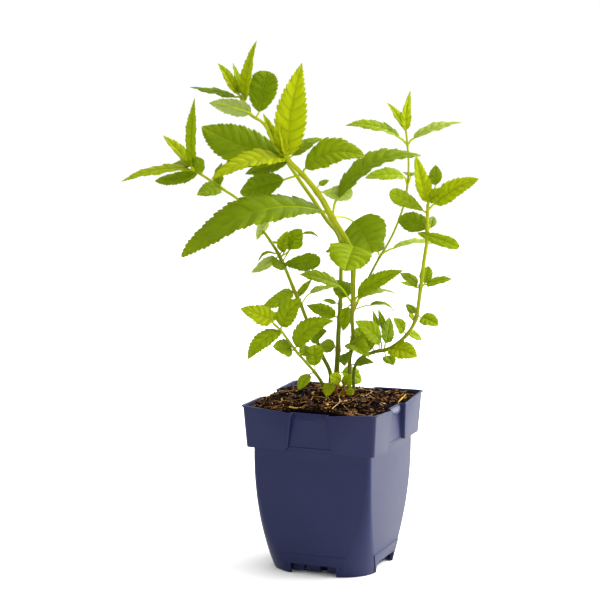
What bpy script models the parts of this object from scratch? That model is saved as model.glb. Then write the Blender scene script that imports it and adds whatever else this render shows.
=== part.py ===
"""A potted catmint: a square moulded nursery pot, its peat soil, and leafy stems that stand in the soil.

Lengths are in millimetres and turn into metres when a mesh is made. The pot's sides lie along X and Y,
and the origin is the middle of the pot's underside, on the surface that it stands on.
"""

import math
from types import SimpleNamespace

import bmesh
import bpy
from mathutils import Matrix, Vector

MM = 0.001
CLEARANCE = 0.3

# The pot
RIM_SIDE = 100.3
POT_HEIGHT = 121.2
COLLAR_HEIGHT = 30.2
COLLAR_FOOT_SIDE = 96.2
BODY_TOP_SIDE = 88.6
BODY_FOOT_SIDE = 77.6
BODY_BOW = 3.1
WALL = 1.2
LIP_OUT = 1.1
LIP_HEIGHT = 1.4
LIP_UNDERCUT = 0.5
COLLAR_CORNER = 2.6
COLLAR_INNER_CORNER = 1.7
BODY_CORNER = 3.0
FOOT_CORNER_EXTRA = 23.0
CORNER_GROWTH = 2.5
BODY_HEIGHTS = (15.0, 25.0, 37.0, 50.0, 64.0, 78.0)
CORNER_STEPS = 3
PAD_HEIGHT = 15.0
PAD_HALF_WIDTH = 25.0
PAD_FOOT_HALF_WIDTH = 17.5
PAD_PROUD = 0.5
FLOOR = 9.6
FLOOR_THICK = 1.6
PAN_SIDE = 48.0
PAN_CORNER = 2.0
SKIRT_WALL = 2.0
NOTCH_WIDTH = 34.5
NOTCH_HEIGHT = 7.5
WEBS = ((-17.6, -8.6), (-7.4, 3.6), (8.9, 17.6))
WEB_PLACE = 35.0
WEB_THICK = 1.4
WEB_FOOT = 1.8
DRAIN_LENGTH = 11.0
DRAIN_WIDTH = 4.0
DRAIN_PLACE = 9.0
RECESS_TOP_WIDTH = 22.8
RECESS_FOOT_WIDTH = 34.0
RECESS_FLARE = 1.2
RECESS_PLANE = 45.6
FLAP_ROUNDING = 3.0
# How far the rim sinks at the finger recess of each side: front, right, back and left
RIM_SAGS = (3.0, 3.0, 0.4, 0.4)
SAG_HALF_WIDTH = 14.0
GRIP_HALF_WIDTH = 12.4
GRIP_DEPTH = 2.6
GRIP_EDGE = 1.5
GRIP_LEAST = 0.1
GRIP_STEPS = 6
PAST = 5.0

# The soil
SOIL_LEVEL = 116.9
SOIL_MOUND = 6.3
MOUND_RADIUS = 26.0
SOIL_CELLS = 11
SOIL_BLOCK_HALF = 54.0
# Each wave of the soil's surface: its height, how fast it turns along X and along Y, and its start
SOIL_WAVES = (
    (0.45, 0.21, 0.17, 0.7),
    (0.45, 0.21, -0.17, 1.9),
    (0.6, 0.47, -0.33, 2.1),
    (0.4, 0.52, 0.71, 1.57),
)

# The view that the plant's places were read in: a 600 x 600 picture, the camera 1.6 m away,
# turned 22 degrees round the pot and looking 9 degrees down.
PICTURE_MIDDLE = 300.0
VIEW_TURN = math.radians(-22.0)
VIEW_DOWN = math.radians(9.0)
VIEW_DISTANCE = 1600.0
VIEW_FOCAL = 2247.0
VIEW_AIM_ACROSS = -24.25
VIEW_AIM_UP = 192.0

# The plant
BLADE_THICK = 0.75
STALK_WIDTH = 1.5
STEM_SIDES = 5
BLADE_WIDEST = 0.36
BLADE_FULLNESS = 1.6
TOOTH_DEPTH = 0.07
TOOTH_LEAN = 0.8
BLADE_END = 0.35
# Under this length the blade's own side direction is no guide to its stalk's
LEAST_SIDE = 0.4


def seen(across, down, away):
    """The point that the view shows at this place of the picture, so far behind the pot's axis."""
    cos_down = math.cos(VIEW_DOWN)
    sin_down = math.sin(VIEW_DOWN)
    right = (across - PICTURE_MIDDLE) / VIEW_FOCAL
    up = (PICTURE_MIDDLE - down) / VIEW_FOCAL
    reach = (away + VIEW_DISTANCE * cos_down) / (cos_down + up * sin_down)
    x = VIEW_AIM_ACROSS + reach * right
    z = VIEW_AIM_UP + VIEW_DISTANCE * sin_down + reach * (up * cos_down - sin_down)
    return turned(Vector((x, away, z)))


def turned(vector):
    """A vector of the view's own axes (right, away, up) along the pot's axes."""
    return Matrix.Rotation(VIEW_TURN, 3, "Z").inverted() @ vector


TO_VIEWER = turned(Vector((0, -math.cos(VIEW_DOWN), math.sin(VIEW_DOWN))))


def mesh_object(name, mesh_data, material):
    mesh = bpy.data.meshes.new(name)
    mesh_data.to_mesh(mesh)
    mesh_data.free()
    mesh.materials.append(material)
    obj = bpy.data.objects.new(name, mesh)
    bpy.context.scene.collection.objects.link(obj)
    return obj


def apply_modifiers(obj):
    graph = bpy.context.evaluated_depsgraph_get()
    mesh = bpy.data.meshes.new_from_object(obj.evaluated_get(graph))
    obj.modifiers.clear()
    obj.data = mesh


def boolean(obj, other, operation):
    """One Boolean with another object, which is used up."""
    modifier = obj.modifiers.new(operation, "BOOLEAN")
    modifier.operation = operation
    modifier.object = other
    apply_modifiers(obj)
    bpy.data.objects.remove(other)


def fuse(obj, others, solver="EXACT"):
    """Joins the other objects to obj in one union, and uses them up."""
    group = bpy.data.collections.new("fused")
    for other in others:
        group.objects.link(other)
    modifier = obj.modifiers.new("fuse", "BOOLEAN")
    modifier.operation = "UNION"
    modifier.operand_type = "COLLECTION"
    modifier.collection = group
    modifier.solver = solver
    apply_modifiers(obj)
    for other in others:
        bpy.data.objects.remove(other)
    bpy.data.collections.remove(group)


def keep_largest(obj):
    """Drops the loose scraps that a union leaves beside the body."""
    mesh = bmesh.new()
    mesh.from_mesh(obj.data)
    islands = []
    free = set(mesh.verts)
    while free:
        reached = [free.pop()]
        island = set(reached)
        while reached:
            for edge in reached.pop().link_edges:
                for vert in edge.verts:
                    if vert in free:
                        free.discard(vert)
                        island.add(vert)
                        reached.append(vert)
        islands.append(island)
    islands.sort(key=len)
    scraps = [vert for island in islands[:-1] for vert in island]
    bmesh.ops.delete(mesh, geom=scraps, context="VERTS")
    mesh.to_mesh(obj.data)
    mesh.free()


def finish(name, colour, roughness):
    material = bpy.data.materials.new(name)
    material.use_nodes = True
    shader = material.node_tree.nodes["Principled BSDF"]
    shader.inputs["Base Color"].default_value = (*colour, 1.0)
    shader.inputs["Roughness"].default_value = roughness
    shader.inputs["Metallic"].default_value = 0.0
    return material


def rounded_square(side, corner, height):
    """The points of a square with round corners, counter-clockwise."""
    inner = side / 2 - corner
    points = []
    for quarter in range(4):
        start = quarter * math.pi / 2
        middle = Matrix.Rotation(start, 3, "Z") @ Vector((inner, inner, height))
        for step in range(CORNER_STEPS + 1):
            angle = start + step / CORNER_STEPS * math.pi / 2
            points.append(middle + corner * Vector((math.cos(angle), math.sin(angle), 0)))
    return points


def loft(rings):
    """A closed mesh through rings of points, from the lowest to the highest."""
    mesh = bmesh.new()
    loops = []
    for ring in rings:
        loops.append([mesh.verts.new(point * MM) for point in ring])
    for low, high in zip(loops, loops[1:]):
        for i in range(len(low)):
            after = (i + 1) % len(low)
            mesh.faces.new((low[i], low[after], high[after], high[i]))
    mesh.faces.new(reversed(loops[0]))
    mesh.faces.new(loops[-1])
    bmesh.ops.triangulate(mesh, faces=mesh.faces[:])
    return mesh


def box(low, high):
    mesh = bmesh.new()
    middle = (Vector(low) + Vector(high)) / 2
    size = Vector(high) - Vector(low)
    place = Matrix.Translation(middle * MM) @ Matrix.Diagonal((*(size * MM), 1))
    bmesh.ops.create_cube(mesh, size=1, matrix=place)
    return mesh


def body_side(height):
    rise = height / (POT_HEIGHT - COLLAR_HEIGHT)
    taper = BODY_FOOT_SIDE + (BODY_TOP_SIDE - BODY_FOOT_SIDE) * rise
    return taper + BODY_BOW * 4 * rise * (1 - rise)


def body_corner(height):
    rise = max(0.0, 1 - height / (POT_HEIGHT - COLLAR_HEIGHT))
    return BODY_CORNER + FOOT_CORNER_EXTRA * rise**CORNER_GROWTH


def collar_side(height):
    rise = (height - POT_HEIGHT + COLLAR_HEIGHT) / COLLAR_HEIGHT
    return COLLAR_FOOT_SIDE + (RIM_SIDE - COLLAR_FOOT_SIDE) * rise


def pot_outside():
    """The pot's outer shape: body, collar and lip."""
    collar_foot = POT_HEIGHT - COLLAR_HEIGHT
    rings = []
    for height in (0.0, PAD_HEIGHT / 2, *BODY_HEIGHTS, collar_foot):
        rings.append(rounded_square(body_side(height), body_corner(height), height))
    rings.append(rounded_square(COLLAR_FOOT_SIDE, COLLAR_CORNER, collar_foot))
    lip = POT_HEIGHT - LIP_HEIGHT
    wide = collar_side(lip) + 2 * LIP_OUT
    rings.append(rounded_square(collar_side(lip), COLLAR_CORNER, lip))
    rings.append(rounded_square(wide, COLLAR_CORNER + LIP_OUT, lip + LIP_UNDERCUT))
    rings.append(rounded_square(RIM_SIDE + 2 * LIP_OUT, COLLAR_CORNER + LIP_OUT, POT_HEIGHT))
    return loft(rings)


def pot_inside(inset, top):
    """The shape inside the pot's walls, a little smaller by inset, up to the height top."""
    wall = WALL + inset
    shoulder = POT_HEIGHT - COLLAR_HEIGHT + wall
    rings = []
    for height in (FLOOR_THICK + inset, FLOOR + inset):
        rings.append(rounded_square(PAN_SIDE - 2 * wall, PAN_CORNER, height))
    for height in (FLOOR + inset, *BODY_HEIGHTS, shoulder):
        rings.append(rounded_square(body_side(height) - 2 * wall, body_corner(height) - wall, height))
    for height in (shoulder, top):
        rings.append(rounded_square(collar_side(height) - 2 * wall, COLLAR_INNER_CORNER, height))
    return loft(rings)


def on_side(mesh, side):
    """Turns a shape made for the front of the pot to one of its four sides."""
    mesh.transform(Matrix.Rotation(side * math.pi / 2, 4, "Z"))
    bmesh.ops.recalc_face_normals(mesh, faces=mesh.faces[:])
    return mesh


def recess(side, grown):
    """The finger recess of one side: what it takes from the collar, grown by a wall's thickness."""
    collar_foot = POT_HEIGHT - COLLAR_HEIGHT
    low = collar_foot - PAST
    top = POT_HEIGHT + PAST
    rings = []
    for height, rounding in ((low, 1.0), (collar_foot, 1.0), (collar_foot + FLAP_ROUNDING / 3, 1 / 3),
                             (collar_foot + FLAP_ROUNDING, 0.0), (top, 0.0)):
        share = (height - low) / (top - low)
        width = RECESS_FOOT_WIDTH + (RECESS_TOP_WIDTH - RECESS_FOOT_WIDTH) * share
        half = width / 2 + grown + FLAP_ROUNDING * rounding
        face = grown - RECESS_PLANE
        outer = -RIM_SIDE / 2 - PAST
        wide = half + RECESS_FLARE
        corners = ((-wide, outer), (wide, outer), (half, face), (-half, face))
        rings.append([Vector((x, y, height)) for x, y in corners])
    return on_side(loft(rings), side)


def rim_sag(side):
    """What the rim lacks on one side: it sinks from the corners to the finger recess."""
    corner = RIM_SIDE / 2 - COLLAR_CORNER
    low = POT_HEIGHT - RIM_SAGS[side]
    high = POT_HEIGHT + PAST
    outline = [(-corner, POT_HEIGHT), (-SAG_HALF_WIDTH, low), (SAG_HALF_WIDTH, low), (corner, POT_HEIGHT),
               (corner, high), (-corner, high)]
    rings = []
    for y in (PAST - RECESS_PLANE, -RIM_SIDE / 2 - PAST):
        rings.append([Vector((x, y, z)) for x, z in outline])
    return on_side(loft(rings), side)


def grip(side):
    """The rounded edge at the top of a finger recess, which slopes down and outwards."""
    inner = WALL / 2 - RECESS_PLANE
    top = POT_HEIGHT - RIM_SAGS[side]
    rings = []
    for i in range(GRIP_STEPS + 1):
        across = (2 * i / GRIP_STEPS - 1) * GRIP_HALF_WIDTH
        out = GRIP_LEAST + GRIP_DEPTH * (1 - (across / GRIP_HALF_WIDTH) ** 2)
        edge = -RECESS_PLANE - out
        upper = top - WALL / 2 - out
        outline = ((inner, top - GRIP_LEAST), (edge, upper), (edge, upper - GRIP_EDGE),
                   (inner, upper - WALL / 2 - out - GRIP_EDGE))
        rings.append([Vector((across, y, z)) for y, z in outline])
    return on_side(loft(rings), side)


def pad(side):
    """The flat pad at the foot of one side, which stands a little proud."""
    rings = []
    for height, half in ((LIP_UNDERCUT, PAD_FOOT_HALF_WIDTH), (PAD_HEIGHT, PAD_HALF_WIDTH)):
        outer = -body_side(height) / 2 - PAD_PROUD
        inner = -body_side(height) / 2 + WALL
        corners = ((-half, outer), (half, outer), (half, inner), (-half, inner))
        rings.append([Vector((x, y, height)) for x, y in corners])
    return on_side(loft(rings), side)


def channel():
    """The ring-shaped hollow under the floor, between the skirt and the middle pan."""
    height = FLOOR - FLOOR_THICK
    corner = body_corner(0) - SKIRT_WALL
    low = rounded_square(BODY_FOOT_SIDE - 2 * SKIRT_WALL, corner, -PAST)
    high = rounded_square(body_side(height) - 2 * SKIRT_WALL, corner, height)
    return loft([low, high])


def make_pot():
    """The moulded pot: collar, body, foot skirt with notches, raised floor with a middle pan."""
    plastic = finish("pot_plastic", (0.030, 0.034, 0.095), 0.42)
    pot = mesh_object("pot", pot_outside(), plastic)
    cavity = mesh_object("cavity", pot_inside(0.0, POT_HEIGHT + PAST), plastic)
    for side in range(4):
        boolean(pot, mesh_object("pad", pad(side), plastic), "UNION")
        boolean(pot, mesh_object("recess", recess(side, 0.0), plastic), "DIFFERENCE")
        boolean(cavity, mesh_object("recess_wall", recess(side, WALL), plastic), "DIFFERENCE")
    boolean(pot, cavity, "DIFFERENCE")
    under = mesh_object("channel", channel(), plastic)
    half = PAN_SIDE / 2
    pan = box((-half, -half, -2 * PAST), (half, half, FLOOR))
    boolean(under, mesh_object("pan", pan, plastic), "DIFFERENCE")
    boolean(pot, under, "DIFFERENCE")
    for side in range(4):
        notch = box((-NOTCH_WIDTH / 2, -RIM_SIDE, -PAST), (NOTCH_WIDTH / 2, -half - SKIRT_WALL, NOTCH_HEIGHT))
        boolean(pot, mesh_object("notch", on_side(notch, side), plastic), "DIFFERENCE")
        middle = (half + body_side(FLOOR) / 2 - SKIRT_WALL) / 2
        for across in (-DRAIN_PLACE, DRAIN_PLACE):
            low = (across - DRAIN_LENGTH / 2, -middle - DRAIN_WIDTH / 2, SKIRT_WALL)
            high = (across + DRAIN_LENGTH / 2, -middle + DRAIN_WIDTH / 2, FLOOR + PAST)
            boolean(pot, mesh_object("drain", on_side(box(low, high), side), plastic), "DIFFERENCE")
        boolean(pot, mesh_object("sag", rim_sag(side), plastic), "DIFFERENCE")
        boolean(pot, mesh_object("grip", grip(side), plastic), "UNION")
        for start, end in WEBS:
            web = box((start, -WEB_PLACE, WEB_FOOT), (end, WEB_THICK - WEB_PLACE, FLOOR - FLOOR_THICK / 2))
            boolean(pot, mesh_object("web", on_side(web, side), plastic), "UNION")
    return pot


def soil_height(x, y):
    """The height of the soil at a place: level at the walls, heaped round the stems, and uneven."""
    mound = SOIL_MOUND * math.exp(-(x * x + y * y) / (2 * MOUND_RADIUS**2))
    lumps = 0.0
    for height, wave_x, wave_y, start in SOIL_WAVES:
        lumps += height * math.sin(wave_x * x + wave_y * y + start)
    return SOIL_LEVEL + mound + lumps


def soil_block():
    """A block with the soil's uneven top."""
    mesh = bmesh.new()
    cell = 2 * SOIL_BLOCK_HALF / SOIL_CELLS
    rows = []
    for j in range(SOIL_CELLS + 1):
        y = cell * j - SOIL_BLOCK_HALF
        row = []
        for i in range(SOIL_CELLS + 1):
            x = cell * i - SOIL_BLOCK_HALF
            row.append(mesh.verts.new(Vector((x, y, soil_height(x, y))) * MM))
        rows.append(row)
    for low, high in zip(rows, rows[1:]):
        for i in range(SOIL_CELLS):
            mesh.faces.new((low[i], low[i + 1], high[i + 1], high[i]))
    edge = [e for e in mesh.edges if e.is_boundary]
    down = bmesh.ops.extrude_edge_only(mesh, edges=edge)["geom"]
    for vert in (v for v in down if isinstance(v, bmesh.types.BMVert)):
        vert.co.z = -PAST * MM
    bmesh.ops.holes_fill(mesh, edges=[e for e in mesh.edges if e.is_boundary], sides=0)
    bmesh.ops.triangulate(mesh, faces=mesh.faces[:])
    bmesh.ops.recalc_face_normals(mesh, faces=mesh.faces[:])
    return mesh


def make_soil(stems):
    """The potting mix, with a plain hole for each stem."""
    peat = finish("peat", (0.030, 0.017, 0.010), 0.95)
    soil = mesh_object("soil", pot_inside(CLEARANCE, POT_HEIGHT + PAST), peat)
    for side in range(4):
        walls = recess(side, WALL + CLEARANCE)
        boolean(soil, mesh_object("recess_wall", walls, peat), "DIFFERENCE")
    boolean(soil, mesh_object("soil_top", soil_block(), peat), "INTERSECT")
    for one in stems:
        radii = [radius + CLEARANCE for radius in one.radii[:3]]
        hole = tube(one.axis[:3], radii, STEM_SIDES, grown=CLEARANCE)
        boolean(soil, mesh_object("hole", hole, peat), "DIFFERENCE")
    return soil


def tube(path, radii, sides, grown=0.0):
    """A closed tube along a path. With grown, its ends reach that much further."""
    rings = []
    across = None
    for i, point in enumerate(path):
        along = (path[min(i + 1, len(path) - 1)] - path[max(i - 1, 0)]).normalized()
        if across is None:
            across = along.orthogonal().normalized()
        across = (across - along * across.dot(along)).normalized()
        other = along.cross(across)
        reach = 0.0
        if i == 0:
            reach = -grown
        if i == len(path) - 1:
            reach = grown
        ring = []
        for side in range(sides):
            angle = 2 * math.pi * side / sides
            out = math.cos(angle) * across + math.sin(angle) * other
            ring.append(point + along * reach + out * radii[i])
        rings.append(ring)
    return loft(rings)


def stem(thicks, places):
    """A stem's centre line and radii. thicks are its thicknesses at even steps from foot to tip, and
    each place is where the picture shows it and how far away it is."""
    axis = [seen(*place) for place in places]
    radii = []
    for i in range(len(axis)):
        step = i / (len(axis) - 1) * (len(thicks) - 1)
        low = min(int(step), len(thicks) - 2)
        radii.append((thicks[low] + (thicks[low + 1] - thicks[low]) * (step - low)) / 2)
    return SimpleNamespace(axis=axis, radii=radii)


def picture_place(point):
    """Where the view shows a point, the reverse of seen."""
    x, away, z = Matrix.Rotation(VIEW_TURN, 3, "Z") @ point
    x -= VIEW_AIM_ACROSS
    z -= VIEW_AIM_UP
    depth = VIEW_DISTANCE + away * math.cos(VIEW_DOWN) - z * math.sin(VIEW_DOWN)
    up = z * math.cos(VIEW_DOWN) + away * math.sin(VIEW_DOWN)
    return Vector((PICTURE_MIDDLE + VIEW_FOCAL * x / depth, PICTURE_MIDDLE - VIEW_FOCAL * up / depth))


def root_on(stems, place):
    """The point of the stems' centre lines that the picture shows nearest to this place."""
    best = None
    for one in stems:
        for start, end in zip(one.axis, one.axis[1:]):
            a = picture_place(start)
            b = picture_place(end)
            share = (Vector(place) - a).dot(b - a) / max((b - a).length_squared, 1e-9)
            share = max(0.0, min(1.0, share))
            gap = (a + (b - a) * share - Vector(place)).length
            if best is None or gap < best[0]:
                best = (gap, start + (end - start) * share)
    return best[1]


def away_of(point):
    return (Matrix.Rotation(VIEW_TURN, 3, "Z") @ point).y


def leaf(base, tip, width, back=0.0, turn=30.0, arch=0.03, fold=10.0, stalk=None, teeth=4, lift=0.0,
         bend=0.0, widest=BLADE_WIDEST, point=1.0, tone="mid"):
    """One leaf. base and tip are where the picture shows its blade begin and end, and stalk is where
    it leaves the stem. width is the true one. lift and back are how far its base and tip lie behind
    the joint it grows from, turn tilts its upper face up from facing the viewer, arch and bend curve
    its midrib out of the blade and in it, fold raises its halves, and a low point rounds its tip."""
    return SimpleNamespace(base=base, tip=tip, width=width, back=back, turn=math.radians(turn), arch=arch,
                           fold=math.radians(fold), stalk=stalk or base, teeth=teeth, lift=lift,
                           bend=bend, widest=widest, point=point, tone=tone)


def blade_frame(one, root):
    """The blade's base, its tip, and the directions along it, across it and out of its upper face."""
    away = away_of(root)
    base = seen(*one.base, away + one.lift)
    tip = seen(*one.tip, away + one.back)
    if (base - root).length < STALK_WIDTH:
        base = root
    along = (tip - base).normalized()
    facing = (TO_VIEWER - along * TO_VIEWER.dot(along)).normalized()
    upward = facing.cross(along)
    if upward.z < 0:
        upward = -upward
    face = math.cos(one.turn) * facing + math.sin(one.turn) * upward
    return base, tip, along, along.cross(face), face


def half_width(one, u):
    """A blade's half width along it, as a share of the largest."""
    rise = BLADE_FULLNESS * one.widest
    fall = BLADE_FULLNESS * (1 - one.widest) * one.point
    peak = rise / (rise + fall)
    return (u / peak) ** rise * ((1 - u) / (1 - peak)) ** fall


def blade_point(one, frame, u, v, off=0.0):
    """A point of a blade: u along its midrib, v from edge to edge, off out of its upper face."""
    base, tip, along, across, face = frame
    length = (tip - base).length
    bow = 4 * u * (1 - u)
    slope = 4 * (1 - 2 * u)
    middle = base + (tip - base) * u + face * one.arch * length * bow + across * one.bend * length * bow
    tangent = (along + face * one.arch * slope + across * one.bend * slope).normalized()
    side = (across - tangent * across.dot(tangent)).normalized()
    out = side.cross(tangent).normalized()
    reach = v * (one.width / 2 * half_width(one, u) + BLADE_END)
    return middle + side * reach * math.cos(one.fold) + out * (abs(reach) * math.sin(one.fold) + off)


def stalk_points(one, frame, root, off):
    """The two edges and the middle of the flat stalk where it leaves the stem."""
    base, _, _, across, face = frame
    line = base - root
    if line.length == 0:
        return None
    line.normalize()
    side = across - line * across.dot(line)
    if side.length < LEAST_SIDE:
        side = face.cross(line)
    side.normalize()
    if side.dot(across) < 0:
        side = -side
    out = side.cross(line).normalized()
    if out.dot(face) < 0:
        out = -out
    middle = root + out * off
    return middle - side * STALK_WIDTH / 2, middle, middle + side * STALK_WIDTH / 2


def blade_layer(mesh, one, frame, root, off):
    """One face of a leaf: the midrib's points and those of its two edges, from the stem to the tip."""
    rib = []
    edges = {-1: [], 1: []}
    start = stalk_points(one, frame, root, off)
    if start:
        for side, point in zip((-1, 0, 1), start):
            (edges[side] if side else rib).append(mesh.verts.new(point * MM))
    for i in range(one.teeth + 1):
        u = i / one.teeth
        rib.append(mesh.verts.new(blade_point(one, frame, u, 0.0, off) * MM))
        for side in (-1, 1):
            notch = blade_point(one, frame, u, side * (1 - TOOTH_DEPTH), off)
            edges[side].append(mesh.verts.new(notch * MM))
            if i < one.teeth:
                ahead = u + TOOTH_LEAN / one.teeth
                tooth = blade_point(one, frame, ahead, side * (1 + TOOTH_DEPTH), off)
                edges[side].append(mesh.verts.new(tooth * MM))
    return rib, edges, 1 if start else 0


def blade(one, frame, root):
    """A closed leaf with a stalk and a toothed edge. Both faces are split alike."""
    mesh = bmesh.new()
    layers = [blade_layer(mesh, one, frame, root, off) for off in (-BLADE_THICK / 2, BLADE_THICK / 2)]
    for rib, edges, first in layers:
        for side in (-1, 1):
            edge = edges[side]
            if first:
                mesh.faces.new((rib[0], edge[0], edge[1]))
                mesh.faces.new((rib[0], edge[1], rib[1]))
            for i in range(one.teeth):
                middle, ahead = rib[first + i], rib[first + i + 1]
                notch, tooth, after = edge[first + 2 * i : first + 2 * i + 3]
                mesh.faces.new((middle, notch, tooth))
                mesh.faces.new((middle, tooth, ahead))
                mesh.faces.new((ahead, tooth, after))
    under, upper = layers
    for side in (-1, 1):
        rim = zip(under[1][side], under[1][side][1:], upper[1][side][1:], upper[1][side])
        ends = [(under[0][i], under[1][side][i], upper[1][side][i], upper[0][i]) for i in (0, -1)]
        for a, b, c, d in (*rim, *ends):
            mesh.faces.new((a, b, c))
            mesh.faces.new((a, c, d))
    bmesh.ops.recalc_face_normals(mesh, faces=mesh.faces[:])
    return mesh


def make_leafy_stem(name, stems, leaves):
    """One leafy stem: its centre line, its side branches and all its leaves, fused."""
    green = finish(name + "_green", (0.16, 0.26, 0.01), 0.5)
    first, *branches = stems
    body = mesh_object(name, tube(first.axis, first.radii, STEM_SIDES), green)
    others = []
    for one in branches:
        others.append(mesh_object("branch", tube(one.axis, one.radii, STEM_SIDES), green))
    for one in leaves:
        root = root_on(stems, one.stalk)
        others.append(mesh_object("blade", blade(one, blade_frame(one, root), root), green))
    fuse(body, others, solver="MANIFOLD")
    keep_largest(body)
    return body


MAIN = [
    stem((2.7, 2.7, 2.9, 3.3, 4.8, 5.0, 4.2, 3.4), [
        (347.5, 404, 4), (348.5, 391, 4), (349.5, 374, 4), (350, 357, 3), (353, 341, 2), (352, 318, 0),
        (353, 306, -1), (353, 286, -3), (353, 265, -5), (349, 247, -8), (341, 232, -11), (332, 217.5, -14),
        (322.5, 200, -17), (312.5, 186, -20), (300, 172, -22), (286, 158, -25),
    ]),
    stem((2.2, 1.8, 1.5), [
        (353, 311, -1), (357.5, 302, 5), (370.7, 274, 17), (380, 256.5, 24), (386, 247, 28),
        (394.6, 230.5, 34), (403, 208, 40), (407, 189, 44), (408.7, 167, 47), (407.5, 145.5, 49),
        (406, 130.5, 50),
    ]),
]
MAIN_LEAVES = [
    # The crown of the main stem
    leaf((288.5, 156), (302, 63), 22, back=-10, turn=-8, arch=0.04, bend=-0.045, fold=14, teeth=7,
         widest=0.40, point=1.1, tone="young"),
    leaf((284.5, 155), (263.5, 113.6), 11, back=-6, turn=40, arch=0.0, bend=-0.06, fold=24, teeth=4,
         tone="bright"),
    leaf((286, 155), (278, 124), 7, back=-12, turn=30, fold=30, teeth=3, tone="bright"),
    leaf((284, 156), (202, 126.5), 29, back=8, turn=20, bend=-0.075, fold=2, teeth=7, widest=0.48, point=1.0,
         tone="dark"),
    leaf((284, 159), (211, 179.5), 19, back=-32, turn=48, arch=0.10, fold=14, teeth=5, tone="bright"),
    leaf((287, 162), (245, 174), 14, back=10, turn=35, teeth=4, tone="dark"),
    leaf((284, 179.5), (240, 192.5), 19.5, back=12, turn=25, fold=-4, stalk=(302, 175), teeth=5, widest=0.5,
         point=0.95, tone="dark"),
    leaf((292, 155.5), (322.5, 138.5), 12, back=16, turn=45, arch=0.10, teeth=3, stalk=(288, 160),
         tone="dark"),
    leaf((305, 168), (365, 157), 24, back=-12, turn=38, arch=0.12, bend=-0.11, fold=8, stalk=(303, 176),
         teeth=6, point=0.85),
    leaf((319, 185), (329, 180), 4, back=4, turn=20, stalk=(316, 191), teeth=3, tone="dark"),
    leaf((322, 191.5), (352, 190), 12, back=14, turn=25, arch=0.0, bend=0.10, fold=4, stalk=(318, 193),
         teeth=3, widest=0.6, tone="pale"),
    # The big pairs at the joint below it
    leaf((321, 210.5), (181.5, 257), 28.5, back=-34, turn=42, arch=0.185, fold=8, teeth=9, widest=0.34,
         point=0.6, stalk=(332, 216.5)),
    leaf((337, 198.5), (421, 155.5), 23, back=10, turn=56, arch=0.15, bend=-0.05, fold=12, teeth=6, point=0.7,
         stalk=(334, 218), tone="dark"),
    leaf((353, 221.5), (371.5, 254), 36, lift=18, back=14, turn=12, arch=0.08, bend=-0.04, fold=8, teeth=6,
         point=0.7, stalk=(333, 216), tone="dark"),
    leaf((353.5, 246.5), (345, 271), 30.5, lift=-3, back=-34, turn=8, arch=0.10, fold=8, teeth=5, widest=0.44,
         point=0.75, stalk=(350, 249)),
    leaf((333, 250.5), (325.5, 251.5), 3, back=14, turn=30, teeth=3, stalk=(350, 249), tone="dark"),
    # The middle joint
    leaf((357.5, 296), (403, 270.5), 13.5, back=-18, turn=32, arch=0.05, bend=-0.03, fold=12,
         stalk=(353.5, 305), teeth=5),
    leaf((364, 296), (397, 294), 8, back=10, turn=66, arch=0.13, stalk=(353.5, 306), teeth=3, tone="pale"),
    leaf((338, 285), (299.6, 274.5), 15, back=-10, turn=52, arch=0.06, stalk=(352, 306), teeth=4),
    leaf((348, 297), (335.5, 280), 14, back=12, turn=15, arch=0.06, stalk=(352.5, 304), teeth=3, tone="dark"),
    leaf((348.5, 307), (343, 331), 9, lift=8, back=14, turn=15, arch=0.04, stalk=(352.5, 304), teeth=4),
    leaf((370, 305), (395, 313), 6, back=10, turn=68, arch=0.20, stalk=(355, 311), teeth=3, tone="dark"),
    leaf((356, 346), (366, 323), 13, lift=5, back=20, turn=25, stalk=(352.5, 349), teeth=4),
    leaf((350, 343), (369, 357), 15, back=-24, turn=25, arch=0.10, fold=22, stalk=(352.5, 338), teeth=4),
    leaf((355, 364), (374, 363), 8, back=-14, turn=50, arch=0.08, stalk=(350, 366), teeth=3, tone="dark"),
    leaf((346, 353), (345, 366), 9, back=-16, turn=30, stalk=(350, 352), teeth=3, tone="dark"),
    # The side branch
    leaf((406.3, 130.5), (410.5, 91), 9, back=-4, turn=-38, arch=0.02, bend=-0.09, fold=20, teeth=4,
         tone="bright"),
    leaf((405.5, 130.5), (387.7, 103), 9, back=4, turn=42, fold=24, teeth=3, tone="bright"),
    leaf((400, 137.5), (345.7, 125.5), 16, back=-8, turn=58, arch=0.11, stalk=(407.5, 145.5), teeth=5),
    leaf((413.5, 138), (462, 122.5), 13, back=8, turn=60, arch=0.07, stalk=(407.5, 145.5), teeth=4,
         tone="pale"),
    leaf((404, 176), (365.4, 178), 12, back=-14, turn=42, arch=0.08, stalk=(407, 187), teeth=4, point=0.85),
    leaf((411, 176), (405, 172.5), 8, back=26, turn=40, stalk=(407, 187), teeth=3, tone="dark"),
    leaf((393, 248), (444, 247), 12, back=12, turn=70, arch=0.11, stalk=(381.5, 255), teeth=4, tone="pale"),
    leaf((378, 252), (369, 238), 14, back=34, turn=20, stalk=(380, 257), teeth=3, tone="dark"),
]

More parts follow.
